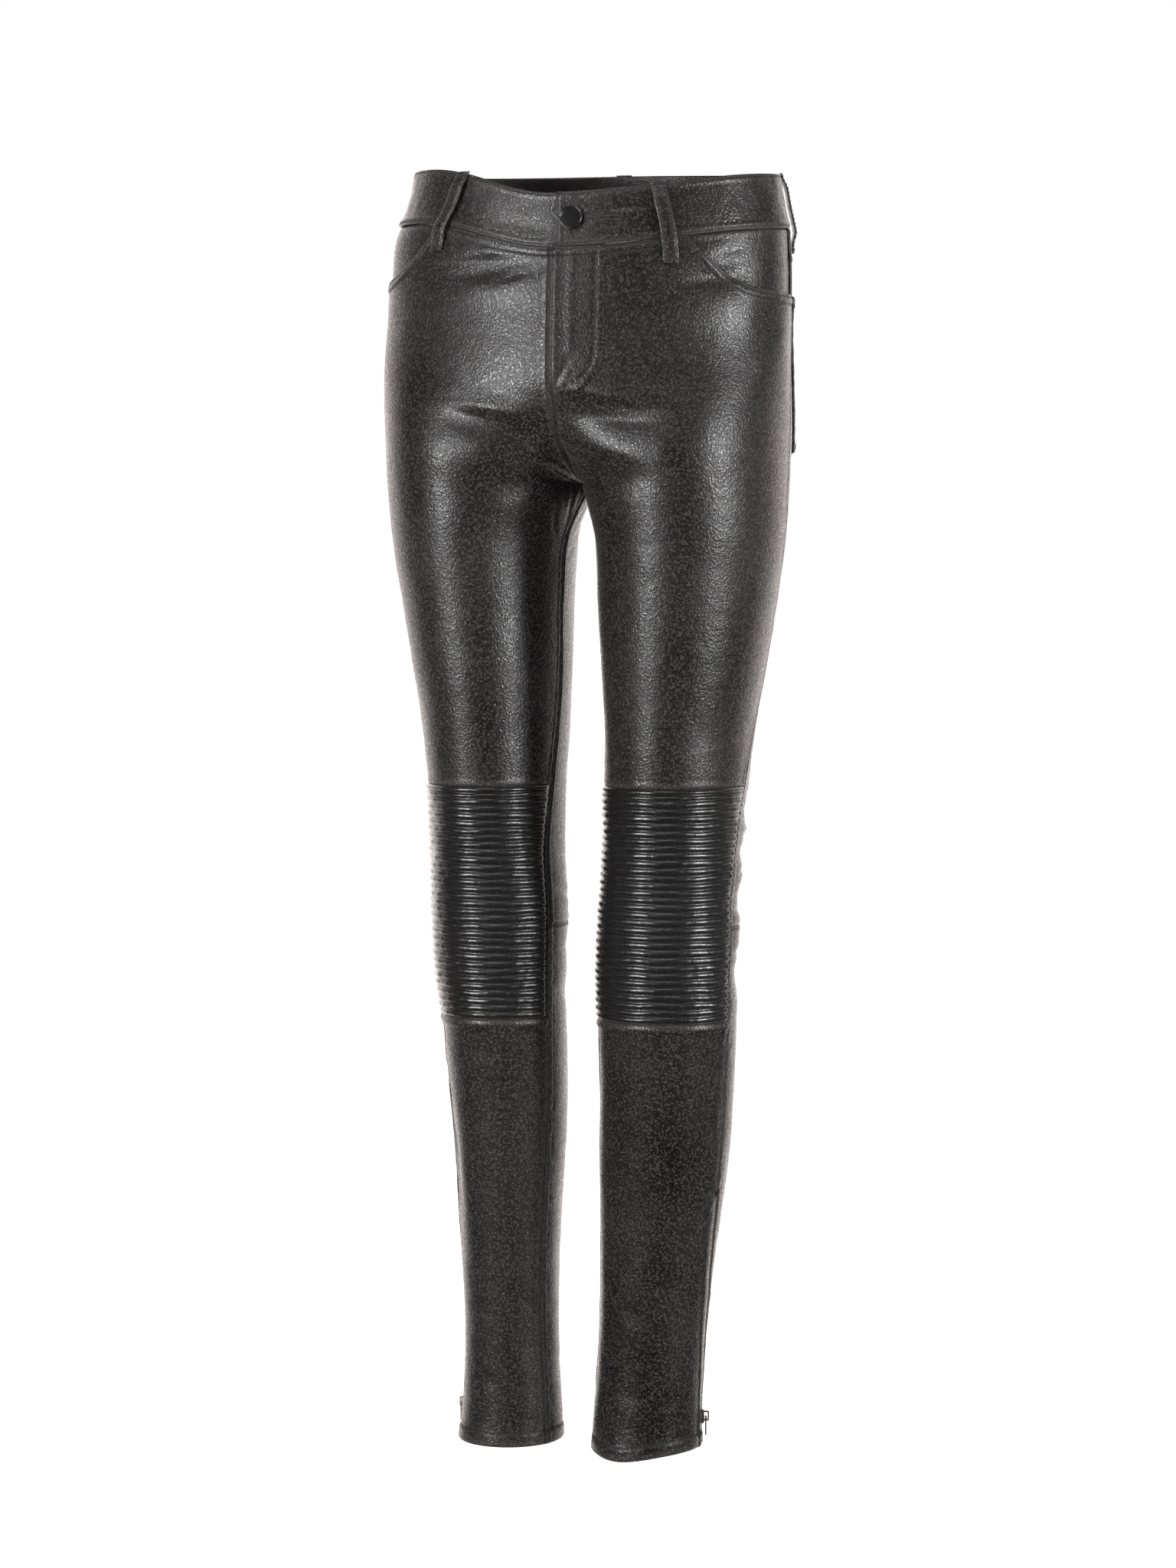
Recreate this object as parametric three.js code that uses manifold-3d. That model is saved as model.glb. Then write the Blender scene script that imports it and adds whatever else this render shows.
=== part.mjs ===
// Skinny leather trousers with ribbed knee panels and ankle zips, hollow, in the form they keep when worn.
// Millimetres. +X is the wearer's left, -Y the front, +Z up. The origin is the centre of the waist,
// level with the top of the waistband at the sides.
import * as THREE from "three";
import { mergeVertices } from "three/addons/utils/BufferGeometryUtils.js";
import Module from "manifold-3d";

const wasm = await Module();
wasm.setup();

// Driving sizes of the cloth and its seams
const LEATHER = 1.5; // panel leather with its stretch backing
const BAND_LEATHER = 2.2; // two layers, folded
const SEAM = 0.3; // space between two sewn pieces
const CROTCH = -234; // height of the crotch
const RISE_CURVE = 92; // how far above the crotch the fork of the legs reaches
const HEM = -974;
const BAND_HEIGHT = 40;
const KNEE_TOP = -462;
const KNEE_BOTTOM = -639;
const KNEE_RIBS = 32;
const RIB_RAISE = 1.7;
const BACK_KNEE_SEAM = -568;
const HIP_SEAM_ANGLE = 98; // side seam at the hip, in degrees round from the centre front
const ZIP_TOP = -771;
const ZIP_SLOT = 2.6; // half the width of cloth left open over the zip teeth
const SLIDER_HEIGHT = -951;
const LAP = 1.9; // how far the wearer's left band end stands over the right one

// One row for each height. Values between rows follow a smooth curve.
function sizeTable(columns, rows) {
  const steps = rows.map((row) => Object.fromEntries(columns.map((name, i) => [name, row[i]])));
  const slope = (i, name) => {
    const a = steps[Math.max(i - 1, 0)];
    const b = steps[Math.min(i + 1, steps.length - 1)];
    return (b[name] - a[name]) / (b.z - a.z);
  };
  return (z) => {
    const height = Math.min(Math.max(z, steps[steps.length - 1].z), steps[0].z);
    let i = 0;
    while (i < steps.length - 2 && height < steps[i + 1].z) i += 1;
    const a = steps[i];
    const b = steps[i + 1];
    const span = b.z - a.z;
    const f = (height - a.z) / span;
    const found = {};
    for (const name of columns) {
      const bend = f * (1 - f) * span;
      const pull = (1 - f) * slope(i, name) - f * slope(i + 1, name);
      const lean = (1 - 2 * f) * ((b[name] - a[name]) / span);
      found[name] = a[name] + (b[name] - a[name]) * f + bend * (pull - lean);
    }
    return found;
  };
}

// Sections of the hips: middle and half width across, depth to the front and to the back
const hipSize = sizeTable(
  ["z", "middle", "half", "front", "back"],
  [
    [15, 5, 139, 91, 95],
    [0, 5, 140, 92, 96],
    [-27, 4, 145.5, 96, 101],
    [-45, 1, 152.5, 98.5, 105],
    [-60, 0, 154.5, 100.5, 108],
    [-100, -1, 155.5, 104, 116],
    [-150, -3, 156.7, 107, 123],
    [-190, -3, 156.5, 105.5, 119],
    [-234, -1.5, 153.4, 99, 104],
  ],
);

// Sections of each leg: centre out from the middle, half widths outwards and inwards, centre backwards,
// depth to the front and back, and the places of inseam and side seam in degrees round from its front
const legColumns = ["z", "centre", "outer", "inner", "shift", "front", "back", "inseam", "outseam"];
const rightLegSize = sizeTable(legColumns, [
  [15, 80, 76, 80, 0, 104, 110, 90, 98],
  [-150, 80, 76.5, 80, 0, 107, 122, 90, 98],
  [-200, 80, 76, 80, 0, 104, 116, 90, 98],
  [-234, 80, 74.8, 80, 0, 99, 104, 88, 98],
  [-274, 82.5, 68.5, 69, 0, 94, 94, 81, 98],
  [-321, 80.1, 63.7, 63.7, 0, 88.5, 87, 79, 97],
  [-368, 76.6, 59.5, 59.5, -0.5, 84, 81, 79, 96],
  [-415, 73.6, 54.8, 54.8, -1, 78.5, 74, 77, 93],
  [-462, 71.8, 51.2, 51.2, -3, 72, 65, 72, 88],
  [-509, 70.8, 49.9, 49.9, -4, 65.5, 59, 65, 82],
  [-556, 69.2, 51, 51, -5, 59.5, 54, 63, 79],
  [-603, 68.4, 49.2, 49.2, -5, 56, 52, 63, 78],
  [-650, 66.9, 46.2, 46.2, -1, 54, 56, 62, 78],
  [-697, 66.7, 44.3, 44.3, 6, 52, 60, 61, 78],
  [-745, 67, 41.5, 41.5, 11, 49, 60, 60, 80],
  [-792, 68, 38.8, 38.8, 15, 46, 57, 59, 84],
  [-840, 68.7, 36.6, 36.6, 18, 43.5, 51, 58, 90],
  [-887, 68.8, 35.6, 35.6, 21, 42, 46, 58, 95],
  [-935, 69.1, 37.6, 37.6, 23, 42.5, 44, 58, 98],
  [-985, 70.6, 41.4, 41.4, 24, 45, 44, 58, 98],
]);
const leftLegSize = sizeTable(legColumns, [
  [15, 80, 74, 80, 0, 104, 110, 90, 98],
  [-150, 80, 74, 80, 0, 107, 122, 90, 98],
  [-200, 80, 73, 80, 0, 104, 116, 90, 98],
  [-234, 80, 71.9, 80, 0, 99, 104, 88, 98],
  [-274, 79.6, 70.3, 70.6, 0, 94, 94, 82, 100],
  [-321, 77.5, 66.4, 66.4, 0, 88.5, 87, 80, 103],
  [-368, 75, 61.4, 61.4, -0.5, 84, 81, 79, 102],
  [-415, 72.2, 56, 56, -1, 78.5, 74, 78, 96],
  [-462, 70, 53.4, 53.4, -3, 72, 65, 77, 86],
  [-509, 67.8, 52, 52, -4, 65.5, 59, 76, 78],
  [-556, 64.8, 52.4, 52.4, -5, 59.5, 54, 76, 75],
  [-603, 63, 53.2, 53.2, -5, 56, 52, 76, 75],
  [-650, 62.2, 52, 52, -1, 54, 56, 76, 74],
  [-697, 59.8, 50.6, 50.6, 6, 52, 60, 77, 73],
  [-745, 56.4, 49.2, 49.2, 11, 49, 60, 77, 72],
  [-792, 52.6, 46, 46, 15, 46, 57, 78, 76],
  [-840, 48.4, 42.8, 42.8, 18, 43.5, 51, 78, 84],
  [-887, 44.4, 40.8, 40.8, 21, 42, 46, 79, 92],
  [-935, 40.6, 40.9, 40.9, 23, 42.5, 44, 80, 98],
  [-985, 37.6, 43, 43, 24, 45, 44, 80, 100],
]);

// The largest folds. Side is 1 for the wearer's left, turn runs from 0 at the front centre or inseam to 1 at
// the side seam and 2 at the back centre or inseam, and lengths are millimetres measured on the cloth.
const foldColumns = ["side", "turn", "z", "length", "width", "tilt", "depth"];
const folds = [
  [-1, 0.19, -76, 34, 10, -3, -2.2],
  [-1, 0.22, -192, 34, 12, 12, -2.2],
  [-1, 0.12, -222, 20, 9, 24, -1.6],
  [1, 0.2, -181, 38, 12, -8, -2.2],
  [1, 0.16, -216, 34, 12, -12, -2],
  [1, 0.72, -120, 26, 12, 40, -1.2],
  [-1, 1.6, -244, 48, 13, 10, -2.4],
  [1, 1.62, -248, 46, 13, 12, -2.4],
  [-1, 1.72, -268, 40, 13, 16, -2.2],
  [1, 1.7, -274, 42, 13, 18, -2.2],
  [-1, 1.3, -300, 40, 14, -8, -1.6],
  [1, 1.35, -308, 40, 14, -10, -1.6],
  [-1, 1.16, -492, 26, 10, 8, -2.6],
  [1, 1.14, -478, 24, 10, 6, -2.8],
  [-1, 1.2, -524, 28, 10, -6, -2.8],
  [1, 1.16, -514, 26, 10, -8, -3],
  [-1, 1.3, -552, 34, 10, 6, -2.8],
  [1, 1.2, -545, 30, 10, 5, -3],
  [-1, 1.5, -540, 34, 12, -4, -3],
  [1, 1.55, -532, 36, 12, 6, -3],
  [-1, 1.6, -592, 34, 12, 8, -2.8],
  [1, 1.5, -588, 36, 12, -6, -2.8],
  [-1, 1.2, -608, 26, 12, -8, -2],
  [1, 1.14, -604, 24, 12, 8, -2.2],
  [-1, 1.75, -628, 26, 12, 12, -2],
  [1, 1.75, -622, 26, 12, -10, -2],
  [1, 0.86, -720, 60, 9, 84, -2],
  [1, 0.72, -800, 50, 9, 80, -1.4],
  [-1, 0.84, -760, 50, 9, 84, -1.4],
  [-1, 1.4, -900, 26, 10, 6, -1.8],
  [1, 1.5, -905, 26, 10, -8, -1.8],
  [-1, 1.5, -940, 24, 9, -8, -1.6],
  [1, 1.4, -944, 24, 9, 6, -1.6],
].map((row) => Object.fromEntries(foldColumns.map((name, i) => [name, row[i]])));

const radians = THREE.MathUtils.degToRad;
const lerp = THREE.MathUtils.lerp;
const smoothstep = THREE.MathUtils.smoothstep;

// Share of each panel that lies between the seam at the middle and the front or back line of the leg
const FRONT_LINE = 0.45;
const BACK_LINE = 1.45;

// A point of the smooth outside of one half. x is measured outwards from the middle.
function smoothPoint(side, z, turn) {
  const leg = (side > 0 ? leftLegSize : rightLegSize)(z);
  const fork = Math.min(Math.max(1 - (z - CROTCH) / RISE_CURVE, 0.02), 1);
  const above = z > CROTCH;
  const inseam = above ? Math.asin(fork) : radians(leg.inseam);
  const backSeam = above ? Math.asin(fork) : Math.PI - radians(leg.inseam);
  const inner = above ? leg.centre / fork : leg.inner;
  const outseam = radians(leg.outseam);
  let angle;
  if (turn < FRONT_LINE) angle = -inseam * (1 - turn / FRONT_LINE);
  else if (turn < 1) angle = (outseam * (turn - FRONT_LINE)) / (1 - FRONT_LINE);
  else if (turn < BACK_LINE) angle = lerp(outseam, Math.PI, (turn - 1) / (BACK_LINE - 1));
  else angle = Math.PI + (backSeam * (turn - BACK_LINE)) / (2 - BACK_LINE);
  const across = Math.sin(angle);
  const along = Math.cos(angle);
  const legX = leg.centre + across * (across > 0 ? leg.outer : inner);
  const legY = leg.shift - along * (along > 0 ? leg.front : leg.back);
  const hipShare = smoothstep(z, -222, -118);
  if (hipShare === 0) return new THREE.Vector3(legX, legY, z);
  const hip = hipSize(z);
  const middle = side * hip.middle;
  const start = Math.asin(-middle / hip.half);
  const sideSeam = radians(HIP_SEAM_ANGLE);
  const theta = turn < 1 ? lerp(start, sideSeam, turn) : lerp(sideSeam, Math.PI - start, turn - 1);
  const hipX = middle + hip.half * Math.sin(theta);
  const hipY = -Math.cos(theta) * (Math.cos(theta) > 0 ? hip.front : hip.back);
  return new THREE.Vector3(lerp(legX, hipX, hipShare), lerp(legY, hipY, hipShare), z);
}

// Direction of the cloth's outside
function outward(side, z, turn) {
  const step = 0.01;
  const a = smoothPoint(side, z, Math.max(turn - step, 0));
  const b = smoothPoint(side, z, Math.min(turn + step, 2));
  const rise = 4;
  const c = smoothPoint(side, z - rise, turn);
  const d = smoothPoint(side, z + rise, turn);
  return b.sub(a).cross(d.sub(c)).normalize();
}

// Length of cloth for a whole step of turn, at one place
function clothPerTurn(side, z, turn) {
  const step = 0.01;
  const a = smoothPoint(side, z, Math.max(turn - step, 0));
  const b = smoothPoint(side, z, Math.min(turn + step, 2));
  return a.distanceTo(b) / (Math.min(turn + step, 2) - Math.max(turn - step, 0));
}

function foldDepth(side, z, turn) {
  let depth = 0;
  for (const fold of folds) {
    if (fold.side !== side || Math.abs(z - fold.z) > 130) continue;
    const across = (turn - fold.turn) * clothPerTurn(side, fold.z, fold.turn);
    const tilt = radians(fold.tilt);
    const along = across * Math.cos(tilt) + (z - fold.z) * Math.sin(tilt);
    const off = -across * Math.sin(tilt) + (z - fold.z) * Math.cos(tilt);
    depth += fold.depth * Math.exp(-((along / fold.length) ** 2) - (off / fold.width) ** 2);
  }
  return depth;
}

// A point of the cloth, moved out by lift, with x back in the frame of the whole garment
function clothPoint(side, z, turn, lift) {
  const place = smoothPoint(side, z, turn);
  const out = outward(side, z, turn);
  const seam = Math.min(1, Math.abs(z - KNEE_TOP) / 25, Math.abs(z - KNEE_BOTTOM) / 25);
  place.addScaledVector(out, lift + foldDepth(side, z, turn) * seam);
  place.x = side * Math.max(place.x, SEAM / 2);
  return place;
}

// A closed wall between an outer and an inner grid of points with the same columns. The inner grid may be
// plainer, with one row for each few rows of the outer one.
function wall(outer, inner) {
  const columns = outer[0].length;
  const positions = [];
  for (const grid of [outer, inner]) {
    for (const row of grid) for (const p of row) positions.push(p.x, p.y, p.z);
  }
  const out = (i, j) => i * columns + j;
  const within = (i, j) => (outer.length + i) * columns + j;
  const last = columns - 1;
  const top = outer.length - 1;
  const inTop = inner.length - 1;
  const each = top / inTop;
  const faces = [];
  const quad = (a, b, c, d) => faces.push(a, b, c, a, c, d);
  for (let j = 0; j < last; j += 1) {
    for (let i = 0; i < top; i += 1) quad(out(i, j), out(i, j + 1), out(i + 1, j + 1), out(i + 1, j));
    for (let i = 0; i < inTop; i += 1) {
      quad(within(i, j), within(i + 1, j), within(i + 1, j + 1), within(i, j + 1));
    }
    quad(out(0, j), within(0, j), within(0, j + 1), out(0, j + 1));
    quad(out(top, j), out(top, j + 1), within(inTop, j + 1), within(inTop, j));
  }
  for (let i = 0; i < inTop; i += 1) {
    const low = i * each;
    const high = low + each;
    faces.push(within(i, 0), out(high, 0), within(i + 1, 0));
    faces.push(within(i, last), within(i + 1, last), out(high, last));
    for (let n = low; n < high; n += 1) {
      faces.push(within(i, 0), out(n, 0), out(n + 1, 0));
      faces.push(within(i, last), out(n + 1, last), out(n, last));
    }
  }
  let volume = 0;
  for (let f = 0; f < faces.length; f += 3) {
    const [a, b, c] = [0, 1, 2].map((n) => new THREE.Vector3().fromArray(positions, faces[f + n] * 3));
    volume += a.dot(b.cross(c));
  }
  if (volume < 0) {
    for (let f = 0; f < faces.length; f += 3) [faces[f + 1], faces[f + 2]] = [faces[f + 2], faces[f + 1]];
  }
  const geometry = new THREE.BufferGeometry();
  geometry.setAttribute("position", new THREE.Float32BufferAttribute(positions, 3));
  geometry.setIndex(faces);
  geometry.computeVertexNormals();
  return geometry;
}

// A sewn panel between two turns and two edges, each edge a function of the turn. Its margins are the
// millimetres kept back from its first and last seam, and raise is what its outer face stands out.
// The fork, where four panels meet, is eased a little wider than the other seams
const forkMargin = (z) => SEAM / 2 + 0.45 * Math.exp(-(((z - CROTCH) / 24) ** 2));
const sewnBothSides = (z) => [forkMargin(z), SEAM];
const flat = () => 0;
const BESIDE = 0.02; // a turn just inside a seam
function panel(side, shape) {
  const { from, to, top, bottom, heights, columns } = shape;
  const { thick = LEATHER, lift = flat, raise = flat, margins = sewnBothSides, rowsEach = 1 } = shape;
  const outer = [];
  const inner = [];
  const rows = heights ? heights.length - 1 : shape.rows;
  for (let i = 0; i <= rows; i += 1) {
    const outerRow = [];
    const innerRow = [];
    for (let j = 0; j <= columns; j += 1) {
      const plainTurn = lerp(from, to, j / columns);
      const z = heights ? heights[i] : lerp(bottom(plainTurn), top(plainTurn), i / rows);
      const [first, last] = margins(z);
      const start = from + first / clothPerTurn(side, z, from + BESIDE);
      const end = to - last / clothPerTurn(side, z, to - BESIDE);
      const turn = lerp(start, end, j / columns);
      const base = lift(z, turn);
      outerRow.push(clothPoint(side, z, turn, base + raise(i, j)));
      innerRow.push(clothPoint(side, z, turn, base - thick));
    }
    outer.push(outerRow);
    if (i % rowsEach === 0) inner.push(innerRow);
  }
  return wall(outer, inner);
}

// Height of the waistband's top edge, with theta in degrees from the centre front, minus to the wearer's right
const WAIST_DIP = { front: -22, left: { side: -4, spread: 50 }, right: { side: 1, spread: 28 }, back: 5 };
function waistTop(theta) {
  const half = theta > 0 ? WAIST_DIP.left : WAIST_DIP.right;
  const away = Math.abs(theta);
  const dip = (WAIST_DIP.front - half.side) * Math.exp(-((away / half.spread) ** 2));
  const sides = lerp(half.side, WAIST_DIP.back, smoothstep(away, 80, 180));
  return sides + dip;
}
// The hip angle of a turn, for heights above the fork
const hipAngle = (side, turn) => side * (turn < 1 ? turn * HIP_SEAM_ANGLE : lerp(HIP_SEAM_ANGLE, 180, turn - 1));
const bandSeam = (side, turn) => waistTop(hipAngle(side, turn)) - BAND_HEIGHT;

// Materials
const leather = new THREE.MeshStandardMaterial({ color: 0x1c1a1b, roughness: 0.5, metalness: 0 });
const kneeLeather = new THREE.MeshStandardMaterial({ color: 0x111012, roughness: 0.32, metalness: 0 });
const pocketLeather = new THREE.MeshStandardMaterial({ color: 0x171516, roughness: 0.55, metalness: 0 });
const zipTape = new THREE.MeshStandardMaterial({ color: 0x121212, roughness: 0.9, metalness: 0 });
const zipMetal = new THREE.MeshStandardMaterial({ color: 0xb9b7b2, roughness: 0.3, metalness: 1 });
const buttonEnamel = new THREE.MeshStandardMaterial({ color: 0x08080a, roughness: 0.15, metalness: 0.6 });

const trousers = new THREE.Group();
function add(name, geometry, material) {
  const mesh = new THREE.Mesh(geometry, material);
  mesh.name = name;
  trousers.add(mesh);
  return mesh;
}
const sideName = (side) => (side > 0 ? "left" : "right");

// Front panels, cut away at the top outer corner for the curved pocket opening. The wearer's left front
// laps over the right at the fly, so its free edge stands proud down to the end of the fly.
const FRONT_COLUMNS = 10;
const POCKET_START = 4 / FRONT_COLUMNS;
const POCKET_DROP = 40;
const FLY_END = -160;
const pocketEdge = (side, turn) => {
  const share = Math.max((turn - POCKET_START) / (1 - POCKET_START), 0);
  const sideTop = bandSeam(side, POCKET_START);
  return Math.min(bandSeam(side, turn), sideTop) - POCKET_DROP * (1 - (1 - share) ** 4.4);
};
const frontTop = (side) => (turn) =>
  (turn < POCKET_START ? bandSeam(side, turn) : pocketEdge(side, turn)) - SEAM / 2;
const flyLift = (side) => (z, turn) =>
  side > 0 ? 0.9 * smoothstep(z, FLY_END - 15, FLY_END) * (1 - smoothstep(turn, 0.0, 0.06)) : 0;
for (const side of [1, -1]) {
  const shape = {
    from: 0,
    to: 1,
    top: frontTop(side),
    bottom: () => KNEE_TOP + SEAM / 2,
    rows: 18,
    columns: FRONT_COLUMNS,
    lift: flyLift(side),
  };
  add("front_thigh_" + sideName(side), panel(side, shape), leather);
}

// Pocket facings, which show inside the curved opening and are held under its edge
for (const side of [1, -1]) {
  const shape = {
    from: POCKET_START - 1 / FRONT_COLUMNS,
    to: 1,
    top: (turn) => bandSeam(side, turn) - SEAM / 2,
    bottom: (turn) => pocketEdge(side, Math.max(turn, POCKET_START)) - 12,
    rows: 4,
    columns: 7,
    thick: 1,
    lift: () => -LEATHER - 3 * SEAM,
  };
  add("pocket_facing_" + sideName(side), panel(side, shape), pocketLeather);
}

// Knee panels of padded ribs running across, three rows of points to a rib
const RIB_ROWS = 3;
const KNEE_COLUMNS = 8;
for (const side of [1, -1]) {
  const shape = {
    from: 0,
    to: 1,
    top: () => KNEE_TOP - SEAM / 2,
    bottom: () => KNEE_BOTTOM + SEAM / 2,
    rows: KNEE_RIBS * RIB_ROWS,
    columns: KNEE_COLUMNS,
    rowsEach: RIB_ROWS,
    raise: (i, j) => (i % RIB_ROWS === 0 || j % KNEE_COLUMNS === 0 ? 0 : RIB_RAISE),
  };
  add("knee_panel_" + sideName(side), panel(side, shape), kneeLeather);
}

// Shins, from the knee panel to the hem, with their outer edge set back beside the ankle zip
const zipMargin = (z) => (z < ZIP_TOP ? ZIP_SLOT : SEAM);
const lowerLegHeights = (top, belowZipTop, aboveZipTop) => {
  const found = [];
  for (let i = 0; i <= belowZipTop; i += 1) found.push(lerp(HEM, ZIP_TOP - 1, i / belowZipTop));
  for (let i = 0; i <= aboveZipTop; i += 1) found.push(lerp(ZIP_TOP, top, i / aboveZipTop));
  return found;
};
for (const side of [1, -1]) {
  const shape = {
    from: 0,
    to: 1,
    heights: lowerLegHeights(KNEE_BOTTOM - SEAM / 2, 9, 5),
    columns: 8,
    margins: (z) => [SEAM / 2, zipMargin(z)],
  };
  add("shin_" + sideName(side), panel(side, shape), leather);
}

// Back panels: a shaping yoke under the waistband, the seat and thigh, and the calf below the knee seam
const BACK_COLUMNS = 11;
const yokeSeam = (turn) => lerp(-62, -84, smoothstep(turn, 1, 2));
for (const side of [1, -1]) {
  const yoke = {
    from: 1,
    to: 2,
    top: (turn) => bandSeam(side, turn) - SEAM / 2,
    bottom: (turn) => yokeSeam(turn) + SEAM / 2,
    rows: 3,
    columns: BACK_COLUMNS,
  };
  add("yoke_" + sideName(side), panel(side, yoke), leather);
  const thigh = {
    from: 1,
    to: 2,
    top: (turn) => yokeSeam(turn) - SEAM / 2,
    bottom: () => BACK_KNEE_SEAM + SEAM / 2,
    rows: 24,
    columns: BACK_COLUMNS,
    margins: (z) => [SEAM, forkMargin(z)],
  };
  add("back_thigh_" + sideName(side), panel(side, thigh), leather);
  const calf = {
    from: 1,
    to: 2,
    heights: lowerLegHeights(BACK_KNEE_SEAM - SEAM / 2, 9, 10),
    columns: 9,
    margins: (z) => [zipMargin(z), SEAM / 2],
  };
  add("back_calf_" + sideName(side), panel(side, calf), leather);
}

// Back patch pockets, with a pointed lower edge. They stand a little off the seat at the open top.
const BACK_POCKET = {
  from: 1 + 1 / BACK_COLUMNS,
  to: 1 + 8 / BACK_COLUMNS,
  columns: 7,
  top: -94,
  bottom: -210,
  point: 16,
  off: 0.8,
  gape: 1.6,
  thick: 1.3,
};
for (const side of [1, -1]) {
  const middle = (BACK_POCKET.from + BACK_POCKET.to) / 2;
  const reach = (BACK_POCKET.to - BACK_POCKET.from) / 2;
  const shape = {
    from: BACK_POCKET.from,
    to: BACK_POCKET.to,
    top: () => BACK_POCKET.top,
    bottom: (turn) => BACK_POCKET.bottom - BACK_POCKET.point * (1 - Math.abs(turn - middle) / reach),
    rows: 8,
    columns: BACK_POCKET.columns,
    thick: BACK_POCKET.thick,
    lift: (z, turn) => {
      const open = smoothstep(z, BACK_POCKET.bottom, BACK_POCKET.top);
      const centre = 1 - (Math.abs(turn - middle) / reach) ** 2;
      return BACK_POCKET.off + BACK_POCKET.thick + BACK_POCKET.gape * open * centre;
    },
  };
  add("back_pocket_" + sideName(side), panel(side, shape), leather);
}

// A point over the hip, by its angle from the centre front, minus to the wearer's right
function hipPoint(theta, z, lift) {
  const side = theta < 0 ? -1 : 1;
  const away = Math.abs(theta);
  const turn = away < HIP_SEAM_ANGLE ? away / HIP_SEAM_ANGLE : 1 + (away - HIP_SEAM_ANGLE) / (180 - HIP_SEAM_ANGLE);
  const place = smoothPoint(side, z, turn);
  const out = outward(side, z, turn);
  place.addScaledVector(out, lift);
  place.x *= side;
  return place;
}

// The waistband goes once round, and the wearer's left end laps over the right one at the front
const BAND_LAP_END = 1;
const BAND_UNDER_END = 375;
const BAND_ROWS = 2;
const BAND_ANGLES = [BAND_LAP_END];
for (let j = 1; j <= FRONT_COLUMNS; j += 1) BAND_ANGLES.push((HIP_SEAM_ANGLE * j) / FRONT_COLUMNS);
for (let j = 1; j <= BACK_COLUMNS; j += 1) BAND_ANGLES.push(lerp(HIP_SEAM_ANGLE, 180, j / BACK_COLUMNS));
for (let j = BAND_ANGLES.length - 2; j > 0; j -= 1) BAND_ANGLES.push(360 - BAND_ANGLES[j]);
BAND_ANGLES.push(360, (360 + BAND_UNDER_END) / 2, BAND_UNDER_END);
const BAND_RAISE = BAND_LEATHER - LEATHER;
function bandPoint(angle, z, lift) {
  const theta = angle > 180 ? angle - 360 : angle;
  const overlap = LAP * (1 - smoothstep(angle, 17, 30));
  const raised = BAND_RAISE * (1 - smoothstep(angle, 335, 355));
  return hipPoint(theta, z, lift + overlap + raised);
}
{
  const outer = [];
  const inner = [];
  for (let i = 0; i <= BAND_ROWS; i += 1) {
    const outerRow = [];
    const innerRow = [];
    for (const angle of BAND_ANGLES) {
      const theta = angle > 180 ? angle - 360 : angle;
      const top = waistTop(theta);
      const z = lerp(top - BAND_HEIGHT + SEAM / 2, top, i / BAND_ROWS);
      outerRow.push(bandPoint(angle, z, 0));
      innerRow.push(bandPoint(angle, z, -BAND_LEATHER));
    }
    outer.push(outerRow);
    inner.push(innerRow);
  }
  add("waistband", wall(outer, inner), leather);
}

// Belt loops: folded strips tacked at both ends, standing off the band between them
const LOOPS = [
  { name: "belt_loop_front_left", top: 31, bottom: 34 },
  { name: "belt_loop_front_right", top: -33, bottom: -38 },
  { name: "belt_loop_side_left", top: 106, bottom: 106 },
  { name: "belt_loop_side_right", top: -106, bottom: -106 },
  { name: "belt_loop_back", top: 179.9, bottom: 179.9 },
];
const LOOP = { width: 12, length: 60, above: 1, thick: 1.8, standOff: 2.9, rounded: 0.5, rows: 10 };
for (const loop of LOOPS) {
  const outer = [];
  const inner = [];
  for (let i = 0; i <= LOOP.rows; i += 1) {
    const down = i / LOOP.rows;
    const theta = lerp(loop.top, loop.bottom, down);
    const z = waistTop(theta) + LOOP.above - LOOP.length * down;
    const middle = hipPoint(theta, z, 0);
    const beside = hipPoint(theta - 1, z, 0);
    const across = middle.clone().sub(beside).setZ(0).normalize();
    const out = new THREE.Vector3(across.y, -across.x, 0);
    const arch = smoothstep(down, 0.02, 0.2) * (1 - smoothstep(down, 0.72, 0.9));
    const foot = BAND_RAISE + 2 * SEAM + LOOP.thick + LOOP.standOff * arch;
    const outerRow = [];
    const innerRow = [];
    for (const place of [-1, 0, 1]) {
      const edge = middle.clone().addScaledVector(across, (place * LOOP.width) / 2);
      outerRow.push(edge.clone().addScaledVector(out, foot - LOOP.rounded * Math.abs(place)));
      innerRow.push(edge.clone().addScaledVector(out, foot - LOOP.thick));
    }
    outer.push(outerRow);
    inner.push(innerRow);
  }
  add(loop.name, wall(outer, inner), leather);
}

// The fly button: a domed cap with a raised rim, on the lapped end of the band
const BUTTON = { radius: 8.6, thick: 3.4, theta: 5.6, z: -41.5 };
{
  const profile = [
    [0, 0],
    [BUTTON.radius - 1.2, 0],
    [BUTTON.radius, 1],
    [BUTTON.radius, BUTTON.thick - 0.8],
    [BUTTON.radius - 0.7, BUTTON.thick],
    [BUTTON.radius - 1.5, BUTTON.thick - 0.5],
    [BUTTON.radius * 0.5, BUTTON.thick - 0.1],
    [0, BUTTON.thick],
  ].map(([r, h]) => new THREE.Vector2(r, h));
  const cap = add("fly_button", new THREE.LatheGeometry(profile, 28), buttonEnamel);
  const foot = hipPoint(BUTTON.theta, BUTTON.z, LAP + BAND_RAISE + 2 * SEAM);
  const out = hipPoint(BUTTON.theta, BUTTON.z, 100).sub(hipPoint(BUTTON.theta, BUTTON.z, 0)).normalize();
  cap.position.copy(foot);
  cap.quaternion.setFromUnitVectors(new THREE.Vector3(0, 1, 0), out);
}

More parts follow.
